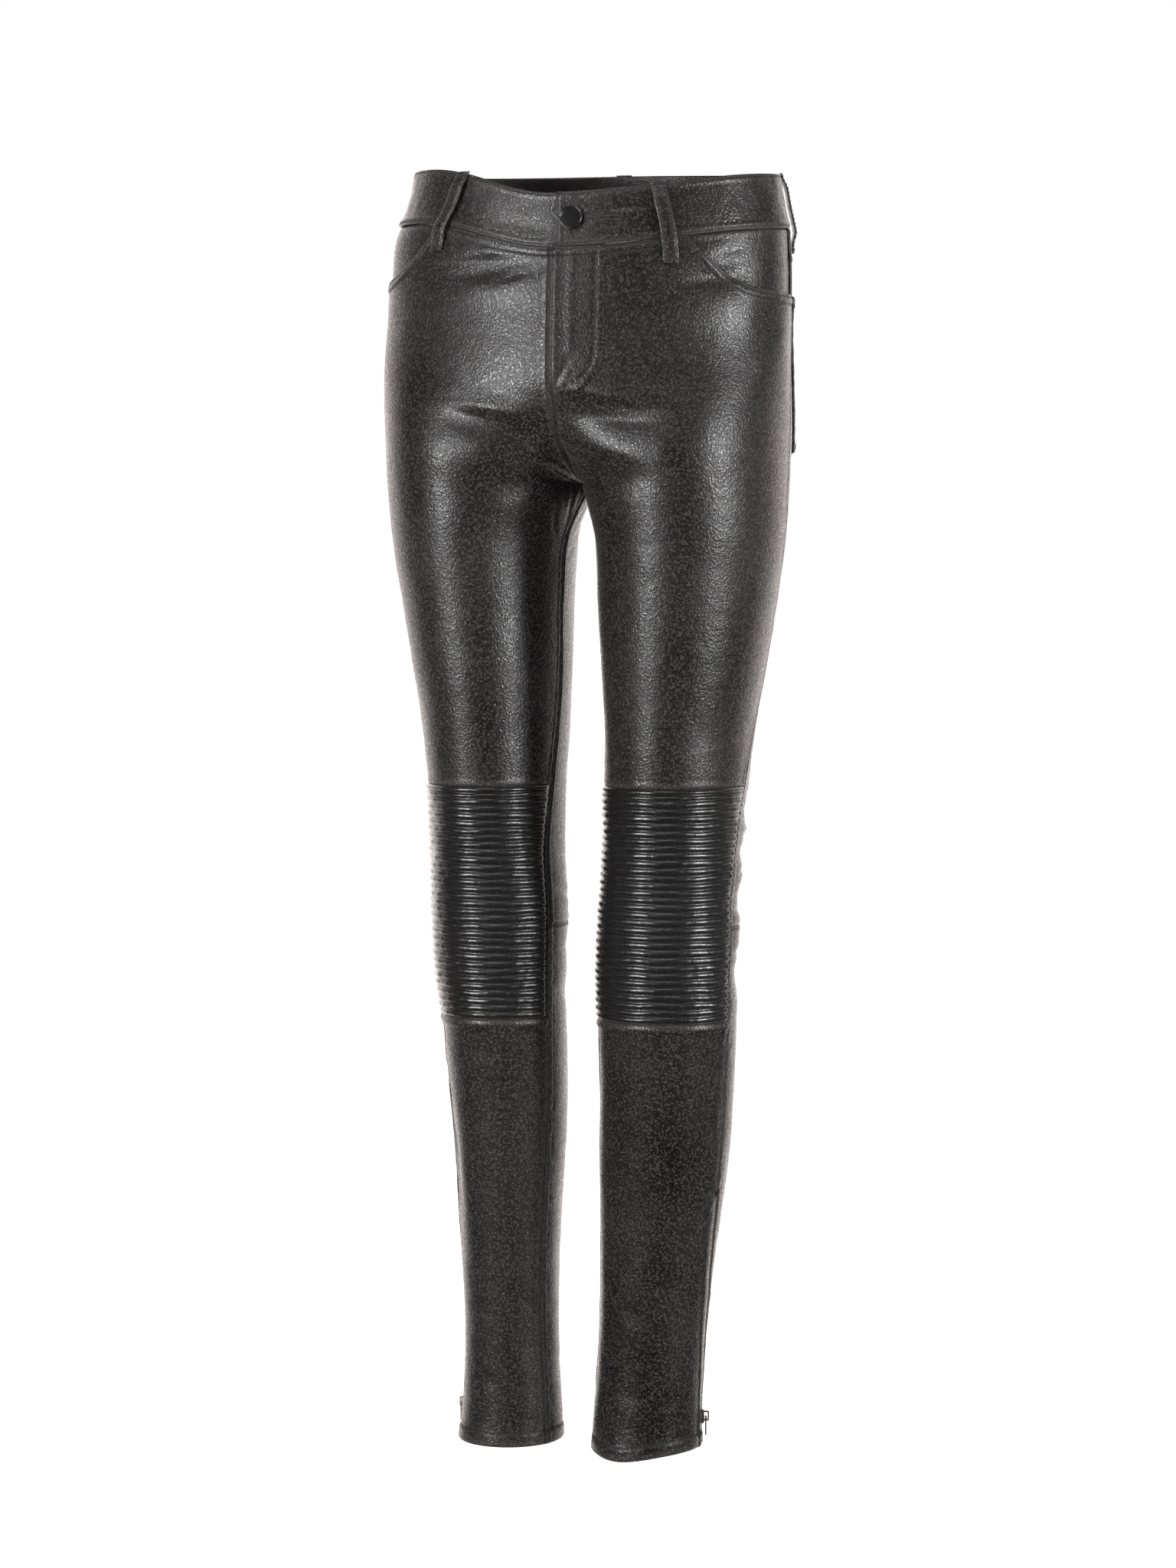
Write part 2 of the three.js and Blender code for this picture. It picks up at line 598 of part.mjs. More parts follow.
// Ankle zips: woven tape behind the slot, a chain of teeth on it, a slider near the hem and its pull tab
const TAPE = { width: 11, thick: 0.8, below: 3 * SEAM };
const CHAIN = { width: 4.2, thick: 2.3 };
function zipStrip(side, halfWidth, low, high, under, over, rows) {
  const outer = [];
  const inner = [];
  for (let i = 0; i <= rows; i += 1) {
    const z = lerp(low, high, i / rows);
    const outerRow = [];
    const innerRow = [];
    for (const place of [-1, 0, 1]) {
      const turn = 1 + (place * halfWidth) / clothPerTurn(side, z, 1 + BESIDE * place);
      outerRow.push(clothPoint(side, z, turn, over));
      innerRow.push(clothPoint(side, z, turn, under));
    }
    outer.push(outerRow);
    inner.push(innerRow);
  }
  return wall(outer, inner);
}
// The slider and the pull share one upright frame at the side seam, x outwards from the cloth
function zipFrame(side) {
  const out = outward(side, SLIDER_HEIGHT, 1);
  out.x *= side;
  const frame = new THREE.Group();
  frame.position.copy(clothPoint(side, SLIDER_HEIGHT, 1, 0));
  frame.rotation.z = Math.atan2(out.y, out.x);
  trousers.add(frame);
  return frame;
}
// A flat piece from an outline and its holes, with its own two axes and its thickness along given directions
function plate(outline, holes, thick, basis) {
  const points = (list) => list.map(([u, v]) => new THREE.Vector2(u, v));
  const shape = new THREE.Shape(points(outline));
  for (const hole of holes) shape.holes.push(new THREE.Path(points(hole)));
  const geometry = new THREE.ExtrudeGeometry(shape, { depth: thick, bevelEnabled: false });
  geometry.translate(0, 0, -thick / 2);
  return geometry.applyMatrix4(new THREE.Matrix4().makeBasis(...basis));
}
const alongX = new THREE.Vector3(1, 0, 0);
const alongY = new THREE.Vector3(0, 1, 0);
const alongZ = new THREE.Vector3(0, 0, 1);
const FACING_OUT = [alongY, alongZ, alongX];
const SEEN_FROM_EDGE = [alongX, alongZ, alongY.clone().negate()];

function solid(geometry) {
  const bare = geometry.clone();
  bare.deleteAttribute("normal");
  bare.deleteAttribute("uv");
  const merged = mergeVertices(bare);
  return new wasm.Manifold(
    new wasm.Mesh({
      numProp: 3,
      vertProperties: merged.attributes.position.array,
      triVerts: new Uint32Array(merged.index.array),
    }),
  );
}
function joined(first, second) {
  const mesh = solid(first).add(solid(second)).getMesh();
  const geometry = new THREE.BufferGeometry();
  geometry.setAttribute("position", new THREE.BufferAttribute(mesh.vertProperties, 3));
  geometry.setIndex(new THREE.BufferAttribute(mesh.triVerts, 1));
  geometry.computeVertexNormals();
  return geometry;
}
const rectangle = (left, right, low, high) => [
  [left, low],
  [right, low],
  [right, high],
  [left, high],
];

// A slider has a body over the chain and a bridge on its face, which the window of the pull goes round
const SLIDER = { width: 8, low: -5.5, high: 5.5, foot: 0.9, thick: 2.2, chamfer: 0.8 };
const BRIDGE = { width: 1.6, reach: 3.9, leg: 1.3, clear: 2.4, top: 1.1, chamfer: 0.8, sunk: 0.5 };
const PULL = { width: 6.4, thick: 1.1, bar: 0.65, length: 15, window: 4.9, windowWidth: 2.8, corner: 1.2 };
const FACE = SLIDER.foot + SLIDER.thick;
const sliderBody = [
  [SLIDER.foot, SLIDER.low],
  [FACE - SLIDER.chamfer, SLIDER.low],
  [FACE, SLIDER.low + SLIDER.chamfer],
  [FACE, SLIDER.high - SLIDER.chamfer],
  [FACE - SLIDER.chamfer, SLIDER.high],
  [SLIDER.foot, SLIDER.high],
];
const bridgeTop = FACE + BRIDGE.clear + BRIDGE.top;
const bridge = [
  [FACE - BRIDGE.sunk, -BRIDGE.reach],
  [bridgeTop - BRIDGE.chamfer, -BRIDGE.reach],
  [bridgeTop, -BRIDGE.reach + BRIDGE.chamfer],
  [bridgeTop, BRIDGE.reach - BRIDGE.chamfer],
  [bridgeTop - BRIDGE.chamfer, BRIDGE.reach],
  [FACE - BRIDGE.sunk, BRIDGE.reach],
];
const inLegs = BRIDGE.reach - BRIDGE.leg;
const bridgeGap = rectangle(FACE - BRIDGE.sunk / 2, FACE + BRIDGE.clear, -inLegs, inLegs);
const halfPull = PULL.width / 2;
const pullOutline = [
  [-halfPull + PULL.corner, -PULL.length],
  [halfPull - PULL.corner, -PULL.length],
  [halfPull, -PULL.length + PULL.corner],
  [halfPull, PULL.bar],
  [-halfPull, PULL.bar],
  [-halfPull, -PULL.length + PULL.corner],
];
const halfWindow = PULL.windowWidth / 2;
const pullWindow = rectangle(-halfWindow, halfWindow, -PULL.window, -PULL.bar);

for (const side of [1, -1]) {
  const name = sideName(side);
  const tapeOver = -LEATHER - TAPE.below;
  const tape = zipStrip(side, TAPE.width / 2, HEM + 3, ZIP_TOP + 6, tapeOver - TAPE.thick, tapeOver, 12);
  add("zip_tape_" + name, tape, zipTape);
  const chainUnder = tapeOver + SEAM;
  const chain = zipStrip(side, CHAIN.width / 2, HEM + 5, ZIP_TOP - 3, chainUnder, chainUnder + CHAIN.thick, 12);
  add("zip_teeth_" + name, chain, zipMetal);

  const frame = zipFrame(side);
  const body = plate(sliderBody, [], SLIDER.width, SEEN_FROM_EDGE);
  const arch = plate(bridge, [bridgeGap], BRIDGE.width, SEEN_FROM_EDGE);
  frame.add(add("zip_slider_" + name, joined(body, arch), zipMetal));
  const tab = plate(pullOutline, [pullWindow], PULL.thick, FACING_OUT);
  tab.translate(FACE + BRIDGE.clear / 2, 0, 0);
  frame.add(add("zip_pull_" + name, tab, zipMetal));
}

export default trousers;
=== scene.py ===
import math

import bpy
import numpy as np
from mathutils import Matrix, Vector


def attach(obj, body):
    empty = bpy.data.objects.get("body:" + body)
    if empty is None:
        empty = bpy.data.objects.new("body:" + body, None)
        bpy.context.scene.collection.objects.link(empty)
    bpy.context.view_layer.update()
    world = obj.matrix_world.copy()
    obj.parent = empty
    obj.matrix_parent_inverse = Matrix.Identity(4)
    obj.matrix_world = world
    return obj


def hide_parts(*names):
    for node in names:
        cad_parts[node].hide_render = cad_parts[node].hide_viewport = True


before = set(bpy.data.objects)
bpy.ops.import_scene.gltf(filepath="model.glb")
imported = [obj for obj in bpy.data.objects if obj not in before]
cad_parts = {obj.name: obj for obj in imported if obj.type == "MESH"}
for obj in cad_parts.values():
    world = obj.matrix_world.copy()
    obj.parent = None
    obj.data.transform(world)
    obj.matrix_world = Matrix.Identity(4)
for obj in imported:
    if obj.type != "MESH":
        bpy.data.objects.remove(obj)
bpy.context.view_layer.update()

scene = bpy.context.scene

# The camera stands in front, a little to the wearer's left and at the height of the hips, with a long
# lens. Its frame is 1536 pixels wide and 2048 high, and the lens is measured on the high side.
IMAGE_HEIGHT = 2048
FOCAL_PIXELS = 5489
SENSOR = 36
CAMERA_AZIMUTH = math.radians(16)
CAMERA_DISTANCE = 3.2
CAMERA_HEIGHT = -0.275
CAMERA_AIM = (-0.0012, 0, -0.463)


def add_object(name, data):
    made = bpy.data.objects.new(name, data)
    scene.collection.objects.link(made)
    return made


# Stands a camera or light at a distance from the middle of the garment, and points it at its aim
def stand(placed, azimuth, distance, height, aim):
    placed.location = (math.sin(azimuth) * distance, -math.cos(azimuth) * distance, height)
    placed.rotation_euler = (Vector(aim) - placed.location).to_track_quat("-Z", "Y").to_euler()


camera = add_object("camera", bpy.data.cameras.new("camera"))
camera.data.sensor_fit = "VERTICAL"
camera.data.sensor_height = SENSOR
camera.data.lens = SENSOR * FOCAL_PIXELS / IMAGE_HEIGHT
stand(camera, CAMERA_AZIMUTH, CAMERA_DISTANCE, CAMERA_HEIGHT, CAMERA_AIM)
scene.camera = camera

# Front panels of stretch leather, waist to knee. Each is cut to the worn form, its edges turned under and
# sewn, and its top outer corner is cut away for the curved pocket.
SIDES = {1: "left", -1: "right"}
LEATHER = 1.5
SEAM = 0.3
CROTCH = -234
RISE_CURVE = 92
HEM = -974
BAND_HEIGHT = 40
KNEE_TOP = -462
KNEE_BOTTOM = -639
HIP_SEAM_ANGLE = 98
FRONT_LINE = 0.45
BACK_LINE = 1.45


# All the cloth follows one worn form, in millimetres. Its sizes are given at some heights, z, and taken
# between them on smooth curves.
def size_table(columns, rows):
    table = np.array(rows, float)[::-1]
    heights = table[:, 0]
    slopes = np.empty_like(table)
    slopes[1:-1] = (table[2:] - table[:-2]) / (heights[2:] - heights[:-2])[:, None]
    slopes[0] = (table[1] - table[0]) / (heights[1] - heights[0])
    slopes[-1] = (table[-1] - table[-2]) / (heights[-1] - heights[-2])

    def sizes_at(z):
        z = np.clip(z, heights[0], heights[-1])
        low = np.clip(np.searchsorted(heights, z, side="right") - 1, 0, len(heights) - 2)
        span = heights[low + 1] - heights[low]
        share = (z - heights[low]) / span
        found = {}
        for n, name in enumerate(columns):
            a = table[low, n]
            b = table[low + 1, n]
            pull = (1 - share) * slopes[low, n] - share * slopes[low + 1, n]
            lean = (1 - 2 * share) * (b - a) / span
            found[name] = a + (b - a) * share + share * (1 - share) * span * (pull - lean)
        return found

    return sizes_at


hip_size = size_table(["z", "middle", "half", "front", "back"], [
    [15, 5, 139, 91, 95],
    [0, 5, 140, 92, 96],
    [-27, 4, 145.5, 96, 101],
    [-45, 1, 152.5, 98.5, 105],
    [-60, 0, 154.5, 100.5, 108],
    [-100, -1, 155.5, 104, 116],
    [-150, -3, 156.7, 107, 123],
    [-190, -3, 156.5, 105.5, 119],
    [-234, -1.5, 153.4, 99, 104],
])
LEG_COLUMNS = ["z", "centre", "outer", "inner", "shift", "front", "back", "inseam", "outseam"]
leg_size = {-1: size_table(LEG_COLUMNS, [
    [15, 80, 76, 80, 0, 104, 110, 90, 98],
    [-150, 80, 76.5, 80, 0, 107, 122, 90, 98],
    [-200, 80, 76, 80, 0, 104, 116, 90, 98],
    [-234, 80, 74.8, 80, 0, 99, 104, 88, 98],
    [-274, 82.5, 68.5, 69, 0, 94, 94, 81, 98],
    [-321, 80.1, 63.7, 63.7, 0, 88.5, 87, 79, 97],
    [-368, 76.6, 59.5, 59.5, -0.5, 84, 81, 79, 96],
    [-415, 73.6, 54.8, 54.8, -1, 78.5, 74, 77, 93],
    [-462, 71.8, 51.2, 51.2, -3, 72, 65, 72, 88],
    [-509, 70.8, 49.9, 49.9, -4, 65.5, 59, 65, 82],
    [-556, 69.2, 51, 51, -5, 59.5, 54, 63, 79],
    [-603, 68.4, 49.2, 49.2, -5, 56, 52, 63, 78],
    [-650, 66.9, 46.2, 46.2, -1, 54, 56, 62, 78],
    [-697, 66.7, 44.3, 44.3, 6, 52, 60, 61, 78],
    [-745, 67, 41.5, 41.5, 11, 49, 60, 60, 80],
    [-792, 68, 38.8, 38.8, 15, 46, 57, 59, 84],
    [-840, 68.7, 36.6, 36.6, 18, 43.5, 51, 58, 90],
    [-887, 68.8, 35.6, 35.6, 21, 42, 46, 58, 95],
    [-935, 69.1, 37.6, 37.6, 23, 42.5, 44, 58, 98],
    [-985, 70.6, 41.4, 41.4, 24, 45, 44, 58, 98],
]), 1: size_table(LEG_COLUMNS, [
    [15, 80, 74, 80, 0, 104, 110, 90, 98],
    [-150, 80, 74, 80, 0, 107, 122, 90, 98],
    [-200, 80, 73, 80, 0, 104, 116, 90, 98],
    [-234, 80, 71.9, 80, 0, 99, 104, 88, 98],
    [-274, 79.6, 70.3, 70.6, 0, 94, 94, 82, 100],
    [-321, 77.5, 66.4, 66.4, 0, 88.5, 87, 80, 103],
    [-368, 75, 61.4, 61.4, -0.5, 84, 81, 79, 102],
    [-415, 72.2, 56, 56, -1, 78.5, 74, 78, 96],
    [-462, 70, 53.4, 53.4, -3, 72, 65, 77, 86],
    [-509, 67.8, 52, 52, -4, 65.5, 59, 76, 78],
    [-556, 64.8, 52.4, 52.4, -5, 59.5, 54, 76, 75],
    [-603, 63, 53.2, 53.2, -5, 56, 52, 76, 75],
    [-650, 62.2, 52, 52, -1, 54, 56, 76, 74],
    [-697, 59.8, 50.6, 50.6, 6, 52, 60, 77, 73],
    [-745, 56.4, 49.2, 49.2, 11, 49, 60, 77, 72],
    [-792, 52.6, 46, 46, 15, 46, 57, 78, 76],
    [-840, 48.4, 42.8, 42.8, 18, 43.5, 51, 78, 84],
    [-887, 44.4, 40.8, 40.8, 21, 42, 46, 79, 92],
    [-935, 40.6, 40.9, 40.9, 23, 42.5, 44, 80, 98],
    [-985, 37.6, 43, 43, 24, 45, 44, 80, 100],
])}


def smoothstep(x, low, high):
    share = np.clip((x - low) / (high - low), 0, 1)
    return share * share * (3 - 2 * share)


def lerp(a, b, share):
    return a + (b - a) * share


def bell(x):
    return np.exp(-(x**2))


# A place on the smooth form of one half. Side is 1 for the wearer's left and -1 for the right, and x is
# measured outwards. Turn runs from 0 at the front centre or inseam to 1 at the side seam and 2 at the back.
def form_place(side, z, turn):
    leg = leg_size[side](z)
    above = z > CROTCH
    fork = np.clip(1 - (z - CROTCH) / RISE_CURVE, 0.02, 1)
    inseam = np.where(above, np.arcsin(fork), np.radians(leg["inseam"]))
    back_seam = np.where(above, np.arcsin(fork), np.pi - np.radians(leg["inseam"]))
    inner = np.where(above, leg["centre"] / fork, leg["inner"])
    outseam = np.radians(leg["outseam"])
    angle = np.select([turn < FRONT_LINE, turn < 1, turn < BACK_LINE], [
        -inseam * (1 - turn / FRONT_LINE),
        outseam * (turn - FRONT_LINE) / (1 - FRONT_LINE),
        lerp(outseam, np.pi, (turn - 1) / (BACK_LINE - 1)),
    ], np.pi + back_seam * (turn - BACK_LINE) / (2 - BACK_LINE))
    across = np.sin(angle)
    along = np.cos(angle)
    leg_x = leg["centre"] + across * np.where(across > 0, leg["outer"], inner)
    leg_y = leg["shift"] - along * np.where(along > 0, leg["front"], leg["back"])
    hip = hip_size(z)
    middle = side * hip["middle"]
    start = np.arcsin(-middle / hip["half"])
    side_seam = np.radians(HIP_SEAM_ANGLE)
    theta = np.where(turn < 1, lerp(start, side_seam, turn), lerp(side_seam, np.pi - start, turn - 1))
    hip_x = middle + hip["half"] * np.sin(theta)
    hip_y = -np.cos(theta) * np.where(np.cos(theta) > 0, hip["front"], hip["back"])
    hip_share = smoothstep(z, CROTCH + 12, CROTCH + 116)
    return np.stack([lerp(leg_x, hip_x, hip_share), lerp(leg_y, hip_y, hip_share), z], -1)


def outward(side, z, turn):
    step = 0.01
    rise = 4
    around = form_place(side, z, np.minimum(turn + step, 2)) - form_place(side, z, np.maximum(turn - step, 0))
    up = form_place(side, z + rise, turn) - form_place(side, z - rise, turn)
    out = np.cross(around, up)
    return out / np.linalg.norm(out, axis=-1, keepdims=True)


def cloth_per_turn(side, z, turn):
    step = 0.01
    high = np.minimum(turn + step, 2)
    low = np.maximum(turn - step, 0)
    return np.linalg.norm(form_place(side, z, high) - form_place(side, z, low), axis=-1) / (high - low)


# The folds of each side: turn, z, half length, half width, tilt in degrees and depth. First come the
# largest folds of the worn garment, and then the finer creases on and around them.
FOLDS = {
    -1: [
        [0.19, -77, 36, 8, -3, -2.8], [0.2, -196, 34, 9, 13, -3.6], [0.2, -182, 32, 7, 12, 1.4],
        [0.13, -226, 22, 9, 24, -2.6], [0.3, -238, 30, 9, 2, -1.6], [1.6, -244, 48, 13, 10, -2.4],
        [1.72, -268, 40, 13, 16, -2.2], [1.3, -300, 40, 14, -8, -1.6], [1.16, -492, 26, 10, 8, -2.6],
        [1.2, -524, 28, 10, -6, -2.8], [1.3, -552, 34, 10, 6, -2.8], [1.5, -540, 34, 12, -4, -3],
        [1.6, -592, 34, 12, 8, -2.8], [1.2, -608, 26, 12, -8, -2], [1.75, -628, 26, 12, 12, -2],
        [0.84, -760, 50, 9, 84, -1.4], [1.4, -900, 26, 10, 6, -1.8], [1.5, -940, 24, 9, -8, -1.6],
    ],
    1: [
        [0.22, -186, 38, 9, -8, -3.2], [0.24, -173, 36, 7, -8, 1.3], [0.2, -224, 36, 9, -12, -3.4],
        [0.2, -211, 34, 7, -12, 1.4], [0.2, -272, 26, 8, 10, -1.6], [0.5, -86, 30, 10, 6, -2.6],
        [0.72, -120, 26, 12, 40, -1.2], [1.62, -248, 46, 13, 12, -2.4], [1.7, -274, 42, 13, 18, -2.2],
        [1.35, -308, 40, 14, -10, -1.6], [1.14, -478, 24, 10, 6, -2.8], [1.16, -514, 26, 10, -8, -3],
        [1.2, -545, 30, 10, 5, -3], [1.55, -532, 36, 12, 6, -3], [1.5, -588, 36, 12, -6, -2.8],
        [1.14, -604, 24, 12, 8, -2.2], [1.75, -622, 26, 12, -10, -2], [0.86, -720, 60, 9, 84, -2],
        [0.72, -800, 50, 9, 80, -1.4], [1.5, -905, 26, 10, -8, -1.8], [1.4, -944, 24, 9, 6, -1.6],
    ],
}
CREASES = {
    -1: [
        [0.17, -60, 17, 2.6, 14, -0.9], [0.25, -71, 30, 3, -2, -0.8], [0.1, -83, 14, 2.6, -12, -0.5],
        [0.21, -188, 28, 3.4, 11, -1], [0.16, -203, 24, 2.8, 20, -0.6], [0.08, -214, 16, 2.6, 34, -0.8],
        [0.06, -228, 14, 2.4, 44, -0.9], [0.13, -236, 18, 3, 30, -0.6], [0.34, -172, 26, 4, 4, -0.4],
        [0.05, -250, 12, 2.2, 60, -0.8], [0.09, -262, 14, 2.4, 52, -0.6], [1.95, -240, 14, 2.2, -56, -0.8],
        [1.91, -252, 16, 2.4, -44, -0.8], [1.88, -268, 18, 2.8, -30, -0.7], [1.93, -284, 14, 2.6, -24, -0.5],
        [1.55, -238, 40, 4, 9, -1], [1.66, -258, 34, 3.4, 14, -0.9], [1.42, -262, 28, 3.6, -4, -0.7],
        [1.6, -288, 34, 4, 10, -0.7], [1.3, -150, 30, 5, -38, -0.6], [1.16, -470, 20, 2.8, 12, -0.9],
        [1.13, -482, 16, 2.6, 2, -1.1], [1.24, -502, 26, 3.2, -6, -1.2], [1.14, -512, 16, 2.6, 10, -1.1],
        [1.4, -516, 34, 3.6, 4, -1.1], [1.18, -534, 20, 3, -12, -1.1], [1.46, -532, 30, 3.4, -8, -1.2],
        [1.66, -526, 26, 3.2, 12, -0.9], [1.34, -546, 32, 3.2, 3, -1.2], [1.6, -556, 30, 3.4, -4, -1.1],
        [1.82, -548, 20, 2.8, 14, -0.8], [1.4, -580, 32, 3.6, 6, -1.1], [1.7, -584, 26, 3.2, -8, -1],
        [1.18, -590, 18, 2.8, -10, -0.9], [1.48, -604, 30, 3.6, 2, -1], [1.3, -622, 26, 3.6, -6, -0.8],
        [1.62, -616, 26, 3.4, 8, -0.8], [0.92, -700, 20, 3, 76, -0.7], [0.88, -742, 22, 3, 82, -0.6],
        [0.5, -664, 30, 6, 5, -0.4], [0.35, -850, 30, 6, 30, -0.4], [1.5, -884, 24, 3.4, 10, -0.8],
        [1.3, -914, 22, 3.2, -8, -0.8], [1.66, -918, 20, 3.2, 12, -0.7], [1.45, -930, 22, 3.2, 0, -0.8],
        [0.4, -925, 24, 5, 8, -0.4],
    ],
    1: [
        [0.21, -178, 32, 3.4, -9, -1], [0.3, -190, 24, 3.2, -4, -0.5], [0.14, -213, 28, 3.2, -12, -1],
        [0.22, -226, 22, 3, -16, -0.6], [0.06, -224, 14, 2.4, -40, -0.8], [0.1, -238, 16, 2.8, -34, -0.6],
        [0.48, -84, 26, 5, 8, -0.8], [0.55, -66, 18, 4, 20, -0.5], [0.03, -158, 12, 2.2, 62, -0.7],
        [0.05, -252, 12, 2.2, -58, -0.7], [0.09, -266, 14, 2.4, -50, -0.5], [1.95, -244, 14, 2.2, 56, -0.8],
        [1.9, -256, 16, 2.4, 46, -0.8], [1.87, -272, 18, 2.8, 32, -0.7], [1.92, -288, 14, 2.6, 26, -0.5],
        [1.58, -242, 38, 4, 11, -1], [1.66, -264, 34, 3.4, 16, -0.9], [1.42, -268, 28, 3.6, 2, -0.7],
        [1.56, -292, 34, 4, 12, -0.7], [1.3, -154, 30, 5, -36, -0.6], [1.12, -470, 16, 2.6, -6, -1.1],
        [1.2, -488, 24, 3, 8, -1.2], [1.1, -500, 14, 2.6, -4, -1.1], [1.4, -506, 34, 3.6, -6, -1.1],
        [1.14, -526, 18, 2.8, 10, -1.2], [1.46, -522, 30, 3.4, 5, -1.2], [1.68, -518, 26, 3.2, -12, -0.9],
        [1.3, -538, 32, 3.2, -3, -1.2], [1.1, -556, 14, 2.6, -8, -1.1], [1.6, -550, 30, 3.4, 6, -1.1],
        [1.82, -542, 20, 2.8, -14, -0.8], [1.36, -576, 32, 3.6, -6, -1.1], [1.7, -580, 26, 3.2, 8, -1],
        [1.12, -588, 16, 2.8, 8, -1], [1.46, -604, 30, 3.6, 0, -1], [1.26, -618, 24, 3.4, 8, -0.8],
        [1.62, -612, 26, 3.4, -8, -0.8], [0.93, -660, 14, 3, 20, -0.6], [0.9, -684, 22, 3, 70, -0.8],
        [0.94, -712, 20, 2.8, 78, -0.9], [0.88, -744, 24, 3, 82, -0.8], [0.95, -766, 12, 2.4, 66, -0.7],
        [0.9, -792, 12, 2.4, 40, -0.7], [0.78, -770, 26, 3.4, 84, -0.5], [0.55, -668, 30, 6, -6, -0.4],
        [0.45, -868, 30, 6, -26, -0.4], [1.46, -888, 24, 3.4, -10, -0.8], [1.3, -916, 22, 3.2, 8, -0.8],
        [1.62, -922, 20, 3.2, -12, -0.7], [1.5, -934, 22, 3.2, 0, -0.8], [0.5, -930, 24, 5, -8, -0.4],
    ],
}
RIDGE = 0.32  # share of a crease's depth that stands up as a soft ridge on each of its sides
RIDGE_OFF = 2.1


def fold_depth(side, z, turn, rows):
    depth = np.zeros_like(z)
    for fold_turn, fold_z, length, width, tilt, deep in rows[side]:
        per_turn = cloth_per_turn(side, np.array(float(fold_z)), np.array(float(fold_turn)))
        lean = math.radians(tilt)
        right = (turn - fold_turn) * per_turn
        up = z - fold_z
        along = (right * math.cos(lean) + up * math.sin(lean)) / length
        off = (-right * math.sin(lean) + up * math.cos(lean)) / width
        depth += deep * bell(along) * (bell(off) - RIDGE * bell(np.abs(off) - RIDGE_OFF))
    return depth


# Soft uneven swelling from -1 to 1, the same on each run, that repeats nowhere on the garment
def unevenness(across, up, size, seed):
    cells = 256
    heights = np.random.RandomState(seed).uniform(-1, 1, (cells, cells))
    u = across / size + 97.3
    v = up / size + 193.7
    left = np.floor(u).astype(int)
    low = np.floor(v).astype(int)
    fu = smoothstep(u - left, 0, 1)
    fv = smoothstep(v - low, 0, 1)
    bottom = lerp(heights[left % cells, low % cells], heights[(left + 1) % cells, low % cells], fu)
    top = lerp(heights[left % cells, (low + 1) % cells], heights[(left + 1) % cells, (low + 1) % cells], fu)
    return lerp(bottom, top, fv)


# About how far right of the front a place lies on the hide, with the legs' hides well apart
TURN_GIRTH = 115
HIDES_APART = 400


def hide_place(side, turn):
    return turn * TURN_GIRTH + side * HIDES_APART


FOLD_FADE = 25
CREASE_FADE = 12


# A place on the leather in millimetres, and its outward direction. Lift, folds, creases and a wide and a
# small swelling raise it, and all but lift die away beside the knee panels' seams.
def cloth_place(side, z, turn, lift):
    place = form_place(side, z, turn)
    out = outward(side, z, turn)
    away = np.minimum(np.abs(z - KNEE_TOP), np.abs(z - KNEE_BOTTOM))
    folds = fold_depth(side, z, turn, FOLDS) * np.minimum(1, away / FOLD_FADE)
    creases = fold_depth(side, z, turn, CREASES) * np.minimum(1, away / CREASE_FADE)
    right = hide_place(side, turn)
    soft = 0.35 * unevenness(right, z, 31, 4) + 0.14 * unevenness(right, z, 13, 5)
    place += out * (lift + folds + creases + soft * np.minimum(1, away / CREASE_FADE))[..., None]
    place[..., 0] = side * np.maximum(place[..., 0], SEAM / 2)
    out[..., 0] *= side
    return place, out


# The turned allowances inside reach a little under the next piece, so that no light comes through a seam
REACH_UNDER = 0.8


def reach_under(grid):
    edges = (grid[0], grid[1]), (grid[-1], grid[-2]), (grid[:, 0], grid[:, 1]), (grid[:, -1], grid[:, -2])
    for edge, beside in edges:
        away = edge - beside
        edge += away / np.linalg.norm(away, axis=-1, keepdims=True) * REACH_UNDER


# A closed wall between an outer grid of places and an inner one with a quarter of its rows and columns.
# Its fields tell the material how far a place is from a sewn edge and how deep in a row of stitches.
INNER_EVERY = 4
MILLIMETRE = 0.001
FAR = 20.0
INSIDE = {"from_edge": FAR, "in_row": 0.0}


def coarse(grid):
    return grid[::INNER_EVERY, ::INNER_EVERY]


def wall_faces(rows, columns):
    outer = np.arange(rows * columns).reshape(rows, columns)
    in_rows = (rows - 1) // INNER_EVERY + 1
    in_columns = (columns - 1) // INNER_EVERY + 1
    inner = rows * columns + np.arange(in_rows * in_columns).reshape(in_rows, in_columns)
    quads = [
        np.stack([outer[:-1, :-1], outer[:-1, 1:], outer[1:, 1:], outer[1:, :-1]], -1).reshape(-1, 4),
        np.stack([inner[:-1, :-1], inner[1:, :-1], inner[1:, 1:], inner[:-1, 1:]], -1).reshape(-1, 4),
    ]

    def rim(grid):
        return np.concatenate([grid[0, :-1], grid[:-1, -1], grid[-1, :0:-1], grid[:0:-1, 0]])

    out_rim = rim(outer)
    in_rim = rim(inner)
    triangles = [
        np.stack([np.roll(out_rim, -1), out_rim, np.repeat(in_rim, INNER_EVERY)], -1),
        np.stack([in_rim, np.roll(in_rim, -1), np.roll(out_rim[::INNER_EVERY], -1)], -1),
    ]
    return np.concatenate(quads), np.concatenate(triangles)


